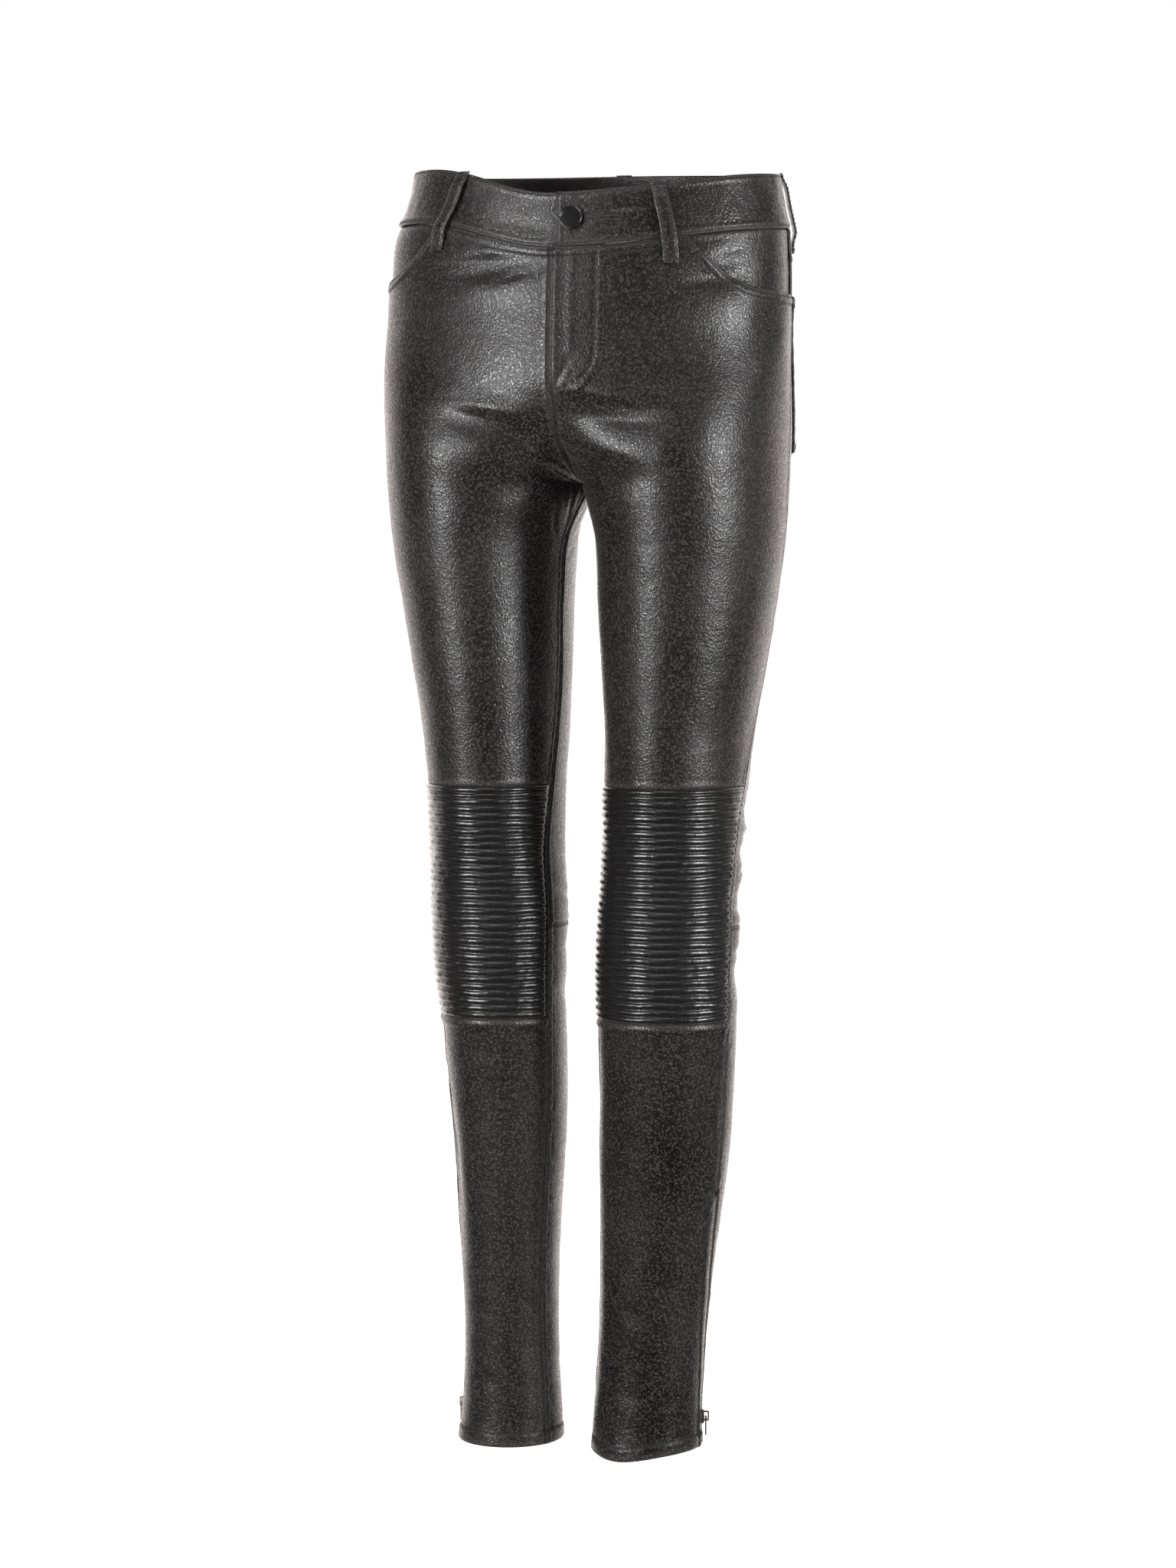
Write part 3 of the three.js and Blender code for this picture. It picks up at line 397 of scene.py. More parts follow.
def closed_wall(name, outer, inner, material, **fields):
    places = np.concatenate([outer.reshape(-1, 3), inner.reshape(-1, 3)])
    quads, triangles = wall_faces(*outer.shape[:2])
    corners = np.concatenate([quads[:, [0, 1, 2]], quads[:, [0, 2, 3]], triangles])
    a, b, c = (places[corners[:, n]] for n in range(3))
    if np.einsum("ij,ij->", a, np.cross(b, c)) < 0:
        quads = quads[:, ::-1]
        triangles = triangles[:, ::-1]
    mesh = bpy.data.meshes.new(name)
    mesh.from_pydata((places * MILLIMETRE).tolist(), [], quads.tolist() + triangles.tolist())
    mesh.shade_smooth()
    for field, values in fields.items():
        values = np.concatenate([values.ravel(), np.full(inner.size // 3, INSIDE[field])])
        mesh.attributes.new(field, "FLOAT", "POINT").data.foreach_set("value", values.astype(np.float32))
    mesh.materials.append(material)
    return add_object(name, mesh)


# How the outside of the leather lies beside a sewn edge, by the distance from it: the edge rolls under,
# the turned allowance pads it, and each row of stitches draws it in
ROW_NEAR = 1.7
ROW_FAR = 7.0
HEM_ROW = 9.6
EDGES = {
    "plain": {"rows": [], "pad": 0.3, "reach": 6},
    "single": {"rows": [ROW_NEAR], "pad": 0.55, "reach": 6},
    "double": {"rows": [ROW_NEAR, ROW_FAR], "pad": 0.8, "reach": 9},
    "far": {"rows": [ROW_FAR], "pad": 0.75, "reach": 9},
    "hem": {"rows": [HEM_ROW, HEM_ROW + 0.5], "pad": 0.7, "reach": 13},
    "raw": {"rows": [], "pad": 0, "reach": 6},
}
EDGE_STEPS = [0, 0.25, 0.6, 1.1, 1.7, 2.3, 3.2, 4.4, 5.6, 6.5, 7.0, 7.5, 8.6]
EDGE_ROLL = 0.75
ROW_DEPTH = 0.6
ROW_SPREAD = 0.8


def edge_form(distances, edges):
    form = 0
    for where, kind in edges.items():
        edge = EDGES[kind]
        distance = distances[where]
        roll = -EDGE_ROLL * bell(distance / ROW_SPREAD)
        roll = roll + edge["pad"] * (1 - smoothstep(distance, edge["reach"] - 3, edge["reach"]))
        for row in edge["rows"]:
            roll = roll - ROW_DEPTH * bell((distance - row) / ROW_SPREAD)
        form = form + roll
    return form


# How much of a place lies in the groove of a row of stitches, from 0 to 1
def in_rows(distances, edges):
    near = [distances[where] - row for where, kind in edges.items() for row in EDGES[kind]["rows"]]
    return sum((bell(off / 0.9) for off in near), np.zeros_like(next(iter(distances.values()))))


# The thread gathers the leather along its rows into light puckers
PUCKER_DEPTH = 0.3
PUCKER_SIZE = 4.2
PUCKER_REACH = 4


def puckers(side, z, turn, distances, edges):
    right = hide_place(side, turn)
    uneven = PUCKER_DEPTH * unevenness(right + 0.3 * z, z - 0.3 * right, PUCKER_SIZE, 6)
    sewn = [(where, EDGES[kind]["rows"][0]) for where, kind in edges.items() if EDGES[kind]["rows"]]
    return uneven * sum(bell((distances[where] - row) / PUCKER_REACH) for where, row in sewn)


def fork_margin(z):
    return SEAM / 2 + 0.45 * bell((z - CROTCH) / 24)


def sewn_both_sides(z):
    return fork_margin(z), SEAM


def no_lift(z, turn):
    return np.zeros_like(z)


def level(height):
    return lambda turn: np.full_like(turn, height)


# Shares from 0 to 1 of a length, closely spaced beside both of its ends and a multiple of four in number
def edge_shares(length, step, closeness):
    steps = np.array(EDGE_STEPS) * closeness
    middle = INNER_EVERY * max(1, round((length - 2 * steps[-1]) / step / INNER_EVERY))
    between = np.linspace(steps[-1], length - steps[-1], middle + 1)
    return np.concatenate([steps[:-1], between, length - steps[-2::-1]]) / length


# Each sewn piece rides on the trousers and stands for its solid
def sew_in(piece, node, slot, flat, held="hung", **more):
    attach(piece, "trousers")
    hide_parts(node)


BESIDE = 0.02
DEFAULTS = {
    "step": 2.0,
    "closeness": 1,
    "thick": LEATHER,
    "lift": no_lift,
    "relief": no_lift,
    "margins": sewn_both_sides,
}


def leather_panel(name, node, side, span, top, bottom, edges, flat, area, **shape):
    shape = {**DEFAULTS, **shape}
    start, end = span
    sample = np.linspace(start, end, 9)
    tops = top(sample)
    bottoms = bottom(sample)
    middle = np.full(9, (tops.mean() + bottoms.mean()) / 2)
    width = cloth_per_turn(side, middle, sample).mean() * (end - start)
    column = edge_shares(width, shape["step"], shape["closeness"])
    row = edge_shares((tops - bottoms).max(), shape["step"], shape["closeness"])
    plain = start + (end - start) * column
    low = bottom(plain)[None, :]
    high = top(plain)[None, :]
    z = low + (high - low) * row[:, None]
    first, last = shape["margins"](z)
    begin = start + first / cloth_per_turn(side, z, np.full_like(z, start + BESIDE))
    finish = end - last / cloth_per_turn(side, z, np.full_like(z, end - BESIDE))
    turn = begin + (finish - begin) * column[None, :]
    here = cloth_per_turn(side, z, turn)
    distances = {
        "start": (turn - begin) * here,
        "end": (finish - turn) * here,
        "bottom": z - low,
        "top": high - z,
    }
    base = shape["lift"](z, turn)
    form = edge_form(distances, edges) + puckers(side, z, turn, distances, edges)
    outer, _ = cloth_place(side, z, turn, base + form + shape["relief"](z, turn))
    inner, _ = cloth_place(side, coarse(z), coarse(turn), coarse(base) - shape["thick"])
    reach_under(inner)
    from_edge = np.clip(np.minimum.reduce([distances[where] for where in edges]), 0, FAR)
    rows = in_rows(distances, edges)
    name = name + SIDES[side]
    panel = closed_wall(name, outer, inner, trouser_leather, from_edge=from_edge, in_row=rows)
    sew_in(panel, node + SIDES[side], "leather", flat, area=area)


# A material's nodes, added one by one and joined by the names of their sockets
def new_material(name):
    material = bpy.data.materials.new(name)
    material.use_nodes = True
    tree = material.node_tree
    return material, tree, add_node(tree, "ShaderNodeTexCoord").outputs["Object"]


def join(tree, given, value):
    if isinstance(value, bpy.types.NodeSocket):
        tree.links.new(value, given)
    else:
        given.default_value = value


def set_inputs(tree, node, **values):
    for socket, value in values.items():
        join(tree, node.inputs[socket.replace("_", " ")], value)


def add_node(tree, kind, settings=None, **values):
    node = tree.nodes.new(kind)
    for key, value in (settings or {}).items():
        setattr(node, key, value)
    set_inputs(tree, node, **values)
    return node


def add_math(tree, operation, a, b, clamp=False):
    node = add_node(tree, "ShaderNodeMath", {"operation": operation, "use_clamp": clamp})
    join(tree, node.inputs[0], a)
    join(tree, node.inputs[1], b)
    return node.outputs[0]


def times(tree, a, b, clamp=False):
    return add_math(tree, "MULTIPLY", a, b, clamp)


def plus(tree, a, b, clamp=False):
    return add_math(tree, "ADD", a, b, clamp)


def add_ramp(tree, value, low, high, from_low=0.0, from_high=1.0, kind="LINEAR"):
    ends = {"From_Min": from_low, "From_Max": from_high, "To_Min": low, "To_Max": high}
    return add_node(tree, "ShaderNodeMapRange", {"interpolation_type": kind}, Value=value, **ends).outputs[0]


def add_mix(tree, share, a, b):
    node = add_node(tree, "ShaderNodeMix", {"data_type": "RGBA"})
    for number, value in ((0, share), (6, a), (7, b)):
        join(tree, node.inputs[number], value)
    return node.outputs[2]


def add_noise(tree, where, scale, detail, **more):
    noise = add_node(tree, "ShaderNodeTexNoise", Vector=where, Scale=scale, Detail=detail, **more)
    return noise.outputs["Fac"]


def add_bump(tree, height, strength, distance):
    bump = add_node(tree, "ShaderNodeBump", Strength=strength, Distance=distance, Height=height)
    return bump.outputs["Normal"]


def field(tree, name):
    return add_node(tree, "ShaderNodeAttribute", {"attribute_name": name}).outputs["Fac"]


# Leather with a pebbled grain one and a half to two millimetres across, faint stretch wrinkles, a satin
# finish that varies over the hide and grooves along its stitches. Painted shade darkens the stitch grooves
# and a thin line at each sewn edge, and the edges beside the seams are painted lighter, partly as wear and
# partly as a painted highlight on the rolled edge
def leather_material(name, dark, light, rough, grain_depth, coat):
    material, tree, where = new_material(name)
    worm = add_noise(tree, where, 690.0, 1.0, Distortion=0.6)
    cells = {"Vector": where, "Scale": 480.0, "Smoothness": 0.25}
    pebble = add_node(tree, "ShaderNodeTexVoronoi", {"feature": "SMOOTH_F1"}, **cells).outputs["Distance"]
    stretch = add_noise(tree, where, 70.0, 1.0)
    hide = add_noise(tree, where, 11.0, 3.0, Roughness=0.55)
    edge = field(tree, "from_edge")
    groove = field(tree, "in_row")
    grain = add_math(tree, "SUBTRACT", worm, times(tree, pebble, 0.5))
    height = plus(tree, grain, times(tree, stretch, 1.2))
    tops = add_ramp(tree, grain, 0.0, 1.0, 0.22, 0.46)
    patches = add_ramp(tree, hide, 0.0, 1.0, 0.3, 0.7)
    share = plus(tree, times(tree, tops, 0.75), times(tree, patches, 0.14))
    # painted lighter beside sewn edges: partly wear, partly a painted highlight where the rolled edge catches
    # light
    edge_wear_and_highlight = add_ramp(tree, edge, 0.4, 0.0, 0.5, 6.0)
    colour = add_mix(tree, plus(tree, share, edge_wear_and_highlight, clamp=True), (*dark, 1), (*light, 1))
    # painted shade: a thin dark line along each sewn edge, where the seam's crease lies in shadow
    seam_shade = add_ramp(tree, edge, 0.35, 1.0, 0.0, 0.9)
    colour = add_mix(tree, seam_shade, (0.003, 0.003, 0.003, 1), colour)
    # painted shade: the grooves of the stitch rows are darkened in the colour
    colour = add_mix(tree, times(tree, groove, 0.85, clamp=True), colour, (0.002, 0.002, 0.002, 1))
    uneven = plus(tree, times(tree, patches, 0.08), times(tree, tops, -0.2))
    uneven = plus(tree, uneven, times(tree, groove, 0.3))
    set_inputs(
        tree,
        tree.nodes["Principled BSDF"],
        Base_Color=colour,
        Roughness=plus(tree, uneven, rough, clamp=True),
        Normal=add_bump(tree, height, 1.0, grain_depth),
        Specular_IOR_Level=0.55,
        Coat_Weight=coat,
        Coat_Roughness=0.27,
        Sheen_Weight=0.12,
        Sheen_Roughness=0.35,
        Sheen_Tint=(1, 0.93, 0.9, 1),
    )
    return material


LEATHER_DARK = (0.0015, 0.0013, 0.0013)
LEATHER_LIGHT = (0.056, 0.050, 0.049)
trouser_leather = leather_material("trouser_leather", LEATHER_DARK, LEATHER_LIGHT, 0.35, 0.00030, 0.0)

WAIST_DIP_FRONT = -22
WAIST_BACK = 5


def waist_top(theta):
    away = np.abs(theta)
    side = np.where(theta > 0, -4, 1)
    spread = np.where(theta > 0, 50, 28)
    dip = (WAIST_DIP_FRONT - side) * bell(away / spread)
    return lerp(side, WAIST_BACK, smoothstep(away, 80, 180)) + dip


def hip_angle(side, turn):
    return side * np.where(turn < 1, turn * HIP_SEAM_ANGLE, lerp(HIP_SEAM_ANGLE, 180, turn - 1))


def band_seam(side, turn):
    return waist_top(hip_angle(side, turn)) - BAND_HEIGHT


def under_band(side):
    return lambda turn: band_seam(side, turn) - SEAM / 2


POCKET_START = 0.4
POCKET_DROP = 40
POCKET_BEND = 4.4
FLY_END = -160
FLY_LIFT = 0.9


def pocket_edge(side, turn):
    share = np.clip((turn - POCKET_START) / (1 - POCKET_START), 0, 1)
    side_top = band_seam(side, np.array(POCKET_START))
    return np.minimum(band_seam(side, turn), side_top) - POCKET_DROP * (1 - (1 - share) ** POCKET_BEND)


def front_top(side):
    def top(turn):
        return np.where(turn < POCKET_START, band_seam(side, turn), pocket_edge(side, turn)) - SEAM / 2

    return top


def fly_lift(side):
    if side < 0:
        return no_lift
    return lambda z, turn: FLY_LIFT * smoothstep(z, FLY_END - 15, FLY_END) * (1 - smoothstep(turn, 0.0, 0.06))


# The fly's facing pads the wearer's left front out to a J-shaped line, with the hidden zip as a faint ridge
FLY_WIDTH = 33
FLY_ROW_GAP = 7
FLY_CURVE_TOP = -138
FLY_INNER_END = -167
FLY_ZIP_PLACE = 15
FLY_ZIP_WIDTH = 3.2


def fly_line(z, extra):
    deep = FLY_CURVE_TOP - FLY_INNER_END + extra
    share = np.clip((FLY_CURVE_TOP - z) / deep, 0, 1)
    return (FLY_WIDTH + extra) * np.sqrt(1 - share**2)


def fly_relief(side):
    if side < 0:
        return no_lift

    def relief(z, turn):
        across = turn * cloth_per_turn(side, z, turn)
        outer_line = fly_line(z, FLY_ROW_GAP)
        inside = 1 - smoothstep(across, outer_line - 1.5, outer_line + 1.5)
        inside = inside * smoothstep(z, FLY_INNER_END - FLY_ROW_GAP - 2, FLY_INNER_END)
        ridge = bell((across - FLY_ZIP_PLACE) / FLY_ZIP_WIDTH) * smoothstep(z, -150, -130)
        rows = bell((across - fly_line(z, 0)) / 1.1) + bell((across - outer_line) / 0.9)
        sewn = smoothstep(z, FLY_INNER_END - 8, FLY_INNER_END + 4)
        return inside * (0.8 + 0.5 * ridge) - 0.55 * rows * sewn

    return relief


for side in SIDES:
    edges = {"start": "single", "end": "plain", "top": "double", "bottom": "plain"}
    leather_panel(
        "front_leather_", "front_thigh_", side, (0, 1), front_top(side), level(KNEE_TOP + SEAM / 2), edges,
        (0.265, 0.41), 0.0915, step=1.6, lift=fly_lift(side), relief=fly_relief(side),
    )

# Pocket facings of the same leather, sewn inside behind the curved openings, where a strip of each shows.
# Their upper edges are caught in the waistband's seam.
FACING_THICK = 1.0
FACING_START = 0.3
FACING_BELOW = 12


def facing_lift(z, turn):
    return np.full_like(z, -LEATHER - 3 * SEAM)


def facing_bottom(side):
    return lambda turn: pocket_edge(side, np.maximum(turn, POCKET_START)) - FACING_BELOW


for side in SIDES:
    edges = {"start": "raw", "end": "plain", "top": "plain", "bottom": "raw"}
    leather_panel(
        "pocket_facing_leather_", "pocket_facing_", side, (FACING_START, 1), under_band(side),
        facing_bottom(side), edges, (0.17, 0.045), 0.0057,
        thick=FACING_THICK, closeness=0.5, lift=facing_lift,
    )

# Knee panels of glossier leather, stitched over soft padding into 32 ribs that run across. Each rib is
# pinched and crinkled a little differently, and the first two are narrower.
KNEE_RIBS = 32
KNEE_WIDTH = 148
RIB_RAISE = 2.0
RIB_POINTS = 10
NARROW_RIB = 0.72
KNEE_DARK = (0.0015, 0.0015, 0.0015)
KNEE_LIGHT = (0.012, 0.011, 0.011)
knee_leather = leather_material("knee_leather", KNEE_DARK, KNEE_LIGHT, 0.38, 0.00016, 0.8)


def rib_heights():
    sizes = np.ones(KNEE_RIBS)
    sizes[-2:] = NARROW_RIB
    sizes *= 1 + 0.06 * np.random.RandomState(11).uniform(-1, 1, KNEE_RIBS)
    return np.concatenate([[0], np.cumsum(sizes)]) / sizes.sum()


for side, label in SIDES.items():
    lines = rib_heights()
    within = np.linspace(0, 1, RIB_POINTS + 1)[:-1]
    shares = [low + (high - low) * within for low, high in zip(lines, lines[1:])]
    shares = np.concatenate([*shares, [1.0]])
    rib = np.concatenate([np.repeat(np.arange(KNEE_RIBS), RIB_POINTS), [KNEE_RIBS - 1]])[:, None]
    phase = np.concatenate([np.tile(within, KNEE_RIBS), [1.0]])
    column = edge_shares(KNEE_WIDTH, 1.9, 0.6)
    low = KNEE_BOTTOM + SEAM / 2
    high = KNEE_TOP - SEAM / 2
    z = (low + (high - low) * shares)[:, None] + np.zeros((1, len(column)))
    across = column[None, :] * KNEE_WIDTH
    crinkle = unevenness(across + 900 * side, rib * 7.0, 6.5, 21)
    crinkle = crinkle + 0.6 * unevenness(across + 900 * side, rib * 7.0 + 300, 3.1, 22)
    full = np.sin(np.pi * phase)[:, None] ** 0.55
    ends = np.minimum(smoothstep(across, 1.2, 5.5), smoothstep(KNEE_WIDTH - across, 0.6, 3.2))
    raised = RIB_RAISE * (1.08 + 0.16 * crinkle) * full * ends + 0.1 * (1 - full)
    wobble = 0.45 * unevenness(across + 500 * side, rib * 9.0, 17, 23)
    begin = (SEAM / 2) / cloth_per_turn(side, z, np.full_like(z, BESIDE))
    finish = 1 - SEAM / cloth_per_turn(side, z, np.full_like(z, 1 - BESIDE))
    turn = begin + (finish - begin) * column[None, :]
    inside = np.minimum(smoothstep(z, low, low + 4), smoothstep(high - z, 0, 4))
    raised = raised - 0.5 * (1 - smoothstep(ends, 0, 0.5))
    outer, _ = cloth_place(side, z + wobble * inside * ends, turn, raised)
    inner, _ = cloth_place(side, coarse(z), coarse(turn), np.full_like(coarse(z), -LEATHER))
    reach_under(inner)
    # the material's painted seam shade and painted edge highlight follow the rib grooves and the panel's ends
    from_groove = 6 * np.minimum(full, ends) + 0.7
    knee = closed_wall("knee_ribs_" + label, outer, inner, knee_leather, from_edge=from_groove)
    sew_in(knee, "knee_panel_" + label, "knee_leather", (0.15, 0.197))

# Shins and calves of the trouser leather, from the knee seams to a turned and stitched hem. Their edges
# stand back beside the ankle zips, and a smooth roll of the shin lies just under each ribbed panel.
ZIP_TOP = -771
ZIP_SLOT = 2.6
BACK_KNEE_SEAM = -568
HEM_DIP = 6
SHIN_ROLL = 1.5


def zip_margin(z):
    return np.where(z < ZIP_TOP, ZIP_SLOT, SEAM)


# The hem of the wearer's left leg hangs lower in front, most about a third of the way out from the inseam
def hem_height(side, turn):
    return HEM - (HEM_DIP if side > 0 else 0) * bell((turn - 0.35) / 0.25)


def shin_bottom(side):
    return lambda turn: hem_height(side, turn)


def shin_relief(z, turn):
    return SHIN_ROLL * bell((z - KNEE_BOTTOM + 4.8) / 3.2)


for side in SIDES:
    edges = {"start": "plain", "end": "far", "top": "plain", "bottom": "hem"}
    leather_panel(
        "shin_leather_", "shin_", side, (0, 1), level(KNEE_BOTTOM - SEAM / 2), shin_bottom(side), edges,
        (0.15, 0.345), 0.0395, margins=lambda z: (SEAM / 2, zip_margin(z)), relief=shin_relief,
    )
    edges = {"start": "far", "end": "far", "top": "single", "bottom": "hem"}
    leather_panel(
        "calf_leather_", "back_calf_", side, (1, 2), level(BACK_KNEE_SEAM - SEAM / 2), level(HEM), edges,
        (0.21, 0.416), 0.071, margins=lambda z: (zip_margin(z), SEAM / 2),
    )

# The back of the same leather: a yoke under the waistband that shapes the seat, and a long panel from it
# to the seam behind the knee. Seams here are sewn down with two rows.
YOKE_SIDE = -62
YOKE_BACK = -84


def yoke_seam(turn):
    return lerp(YOKE_SIDE, YOKE_BACK, smoothstep(turn, 1, 2))


for side in SIDES:
    edges = {"start": "plain", "end": "double", "top": "plain", "bottom": "plain"}
    leather_panel(
        "yoke_leather_", "yoke_", side, (1, 2), under_band(side), lambda turn: yoke_seam(turn) + SEAM / 2,
        edges, (0.25, 0.06), 0.0073, closeness=0.9,
    )
    edges = {"start": "plain", "end": "double", "top": "double", "bottom": "plain"}
    leather_panel(
        "back_leather_", "back_thigh_", side, (1, 2), lambda turn: yoke_seam(turn) - SEAM / 2,
        level(BACK_KNEE_SEAM + SEAM / 2), edges, (0.27, 0.52), 0.11, step=2.2,
        margins=lambda z: (SEAM, fork_margin(z)),
    )

# Back patch pockets of the same leather with a pointed lower edge. They are turned under all round and
# sewn on with two rows, and each gapes a little at its top.
BACK_COLUMNS = 11
POCKET_FROM = 1 + 1 / BACK_COLUMNS
POCKET_TO = 1 + 8 / BACK_COLUMNS
POCKET_MIDDLE = (POCKET_FROM + POCKET_TO) / 2
POCKET_REACH = (POCKET_TO - POCKET_FROM) / 2
POCKET_TOP = -94
POCKET_BOTTOM = -210
POCKET_POINT = 16
POCKET_THICK = 1.3
POCKET_OFF = 0.8
POCKET_GAPE = 1.6


def back_pocket_bottom(turn):
    return POCKET_BOTTOM - POCKET_POINT * (1 - np.abs(turn - POCKET_MIDDLE) / POCKET_REACH)


def back_pocket_lift(z, turn):
    opened = smoothstep(z, POCKET_BOTTOM, POCKET_TOP)
    centre = np.clip(1 - (np.abs(turn - POCKET_MIDDLE) / POCKET_REACH) ** 2, 0, 1)
    return POCKET_OFF + POCKET_THICK + POCKET_GAPE * opened * centre


for side in SIDES:
    edges = {"start": "double", "end": "double", "top": "hem", "bottom": "double"}
    leather_panel(
        "back_pocket_leather_", "back_pocket_", side, (POCKET_FROM, POCKET_TO), level(POCKET_TOP),
        back_pocket_bottom, edges, (0.16, 0.135), 0.0175, thick=POCKET_THICK, lift=back_pocket_lift,
        margins=lambda z: (0, 0),
    )

# The waistband: one folded strip of leather all round, edge-stitched above and below. The wearer's left
# end laps over the right one at the front, and the band dips there.
BAND_LEATHER = 2.2
BAND_RAISE = BAND_LEATHER - LEATHER
LAP = 1.9
BAND_START = 1
BAND_END = 375
BAND_GIRTH = 880


# A place on the smooth form by its angle round from the front centre, from -180 to 180
def hip_place(theta, z, lift):
    away = np.abs(theta)
    beyond = 1 + (away - HIP_SEAM_ANGLE) / (180 - HIP_SEAM_ANGLE)
    turn = np.where(away < HIP_SEAM_ANGLE, away / HIP_SEAM_ANGLE, beyond)
    sign = np.where(theta < 0, -1.0, 1.0)
    left = form_place(1, z, turn), outward(1, z, turn)
    right = form_place(-1, z, turn), outward(-1, z, turn)
    place, out = (np.where((theta < 0)[..., None], r, l) for l, r in zip(left, right))
    place = place + out * np.asarray(lift)[..., None]
    place[..., 0] *= sign
    out = out.copy()
    out[..., 0] *= sign
    return place, out


def band_lift(angle):
    return LAP * (1 - smoothstep(angle, 17, 30)) + BAND_RAISE * (1 - smoothstep(angle, 335, 355))


def band_theta(angle):
    return np.where(angle > 180, angle - 360, angle)


band_column = edge_shares(BAND_GIRTH, 2.2, 1)
band_share = edge_shares(BAND_HEIGHT, 1.8, 1)
angle = (BAND_START + (BAND_END - BAND_START) * band_column)[None, :] + np.zeros((len(band_share), 1))
theta = band_theta(angle)
band_top = waist_top(theta)
z = band_top - BAND_HEIGHT + SEAM / 2 + (BAND_HEIGHT - SEAM / 2) * band_share[:, None]
around = band_column[None, :] * BAND_GIRTH
distances = {
    "top": band_top - z,
    "bottom": z - (band_top - BAND_HEIGHT),
    "lap": around + 0 * z,
    "under": BAND_GIRTH - around + 0 * z,
}
band_edges = {"top": "single", "bottom": "single", "lap": "single", "under": "raw"}
form = edge_form(distances, band_edges)
soft = 0.3 * unevenness(around, z, 23, 31) + 0.2 * unevenness(around, z, 9, 32)
# soft dents of the band on both sides of the button, where the lapped end pulls
below = band_top - z
dent = -0.9 * np.exp(-(((theta + 12) / 9) ** 2) - ((below - 26) / 5) ** 2)
dent = dent - 1.1 * np.exp(-(((theta - 19) / 9) ** 2) - ((below - 14 - 0.12 * (theta - 19)) / 3.2) ** 2)
dent = dent + 0.5 * np.exp(-(((theta - 20) / 14) ** 2) - ((below - 31) / 5) ** 2)
outer, _ = hip_place(theta, z, band_lift(angle) + form + soft + dent)
inner, _ = hip_place(coarse(theta), coarse(z), band_lift(coarse(angle)) - BAND_LEATHER)
from_edge = np.clip(np.minimum.reduce(list(distances.values())), 0, FAR)
rows = in_rows(distances, band_edges)
band = closed_wall("waistband_leather", outer, inner, trouser_leather, from_edge=from_edge, in_row=rows)
sew_in(band, "waistband", "leather", (0.88, 0.04))

# Five belt loops: leather strips folded to 12 mm, stitched along both edges, tacked at the top of the band
# and below it, and standing off the band between
LOOPS = {
    "front_left": (31, 34),
    "front_right": (-33, -38),
    "side_left": (106, 106),
    "side_right": (-106, -106),
    "back": (179.9, 179.9),
}
LOOP_WIDTH = 12
LOOP_LENGTH = 60
LOOP_ABOVE = 1
LOOP_THICK = 1.8
LOOP_STAND_OFF = 2.9
LOOP_EDGE_ROW = 1.6
LOOP_TACKS = (0.045, 0.95)


def loop_place(angles, down, across, lift):
    theta = lerp(angles[0], angles[1], down)
    z = waist_top(theta) + LOOP_ABOVE - LOOP_LENGTH * down
    middle, _ = hip_place(theta, z, np.zeros_like(z))
    beside, _ = hip_place(theta - 1, z, np.zeros_like(z))
    flat = (middle - beside) * (1, 1, 0)
    flat /= np.linalg.norm(flat, axis=-1, keepdims=True)
    out = np.stack([flat[..., 1], -flat[..., 0], np.zeros_like(z)], -1)
    arch = smoothstep(down, 0.02, 0.2) * (1 - smoothstep(down, 0.72, 0.9))
    foot = BAND_RAISE + 2 * SEAM + LOOP_THICK + LOOP_STAND_OFF * arch
    return middle + flat * across[..., None] + out * (foot + lift)[..., None], out


for label, angles in LOOPS.items():
    half = LOOP_WIDTH / 2
    down, across = np.meshgrid(np.linspace(0, 1, 61), np.linspace(-half, half, 29), indexing="ij")
    rim = half - np.abs(across)
    tacks = sum(bell((down - tack) / 0.012) for tack in LOOP_TACKS)
    lift = -0.8 * bell(rim / 0.8) - 0.3 * bell((rim - LOOP_EDGE_ROW) / 0.6) - 0.35 * tacks
    lift = lift + 0.15 * unevenness(across, down * LOOP_LENGTH, 7, 41)
    outer, _ = loop_place(angles, down, across, lift)
    inner, _ = loop_place(angles, coarse(down), coarse(across), np.full_like(coarse(down), -LOOP_THICK))
    loop = closed_wall("loop_leather_" + label, outer, inner, trouser_leather, from_edge=rim)
    sew_in(loop, "belt_loop_" + label, "leather", (0.012, 0.064), "folded", rests_on=["waistband_leather"])

# Topstitching in twisted black thread, sewn through the leather in rows of even stitches. Each row is a
# path on the leather, and one stitch repeats along it.
thread, thread_tree, where = new_material("black_thread")
twist = add_noise(thread_tree, where, 2600.0, 1.0)
set_inputs(
    thread_tree,
    thread_tree.nodes["Principled BSDF"],
    Base_Color=add_mix(thread_tree, twist, (0.003, 0.003, 0.003, 1), (0.02, 0.019, 0.018, 1)),
    Normal=add_bump(thread_tree, twist, 0.5, 0.0001),
    Roughness=0.45,
    Sheen_Weight=0.3,
)


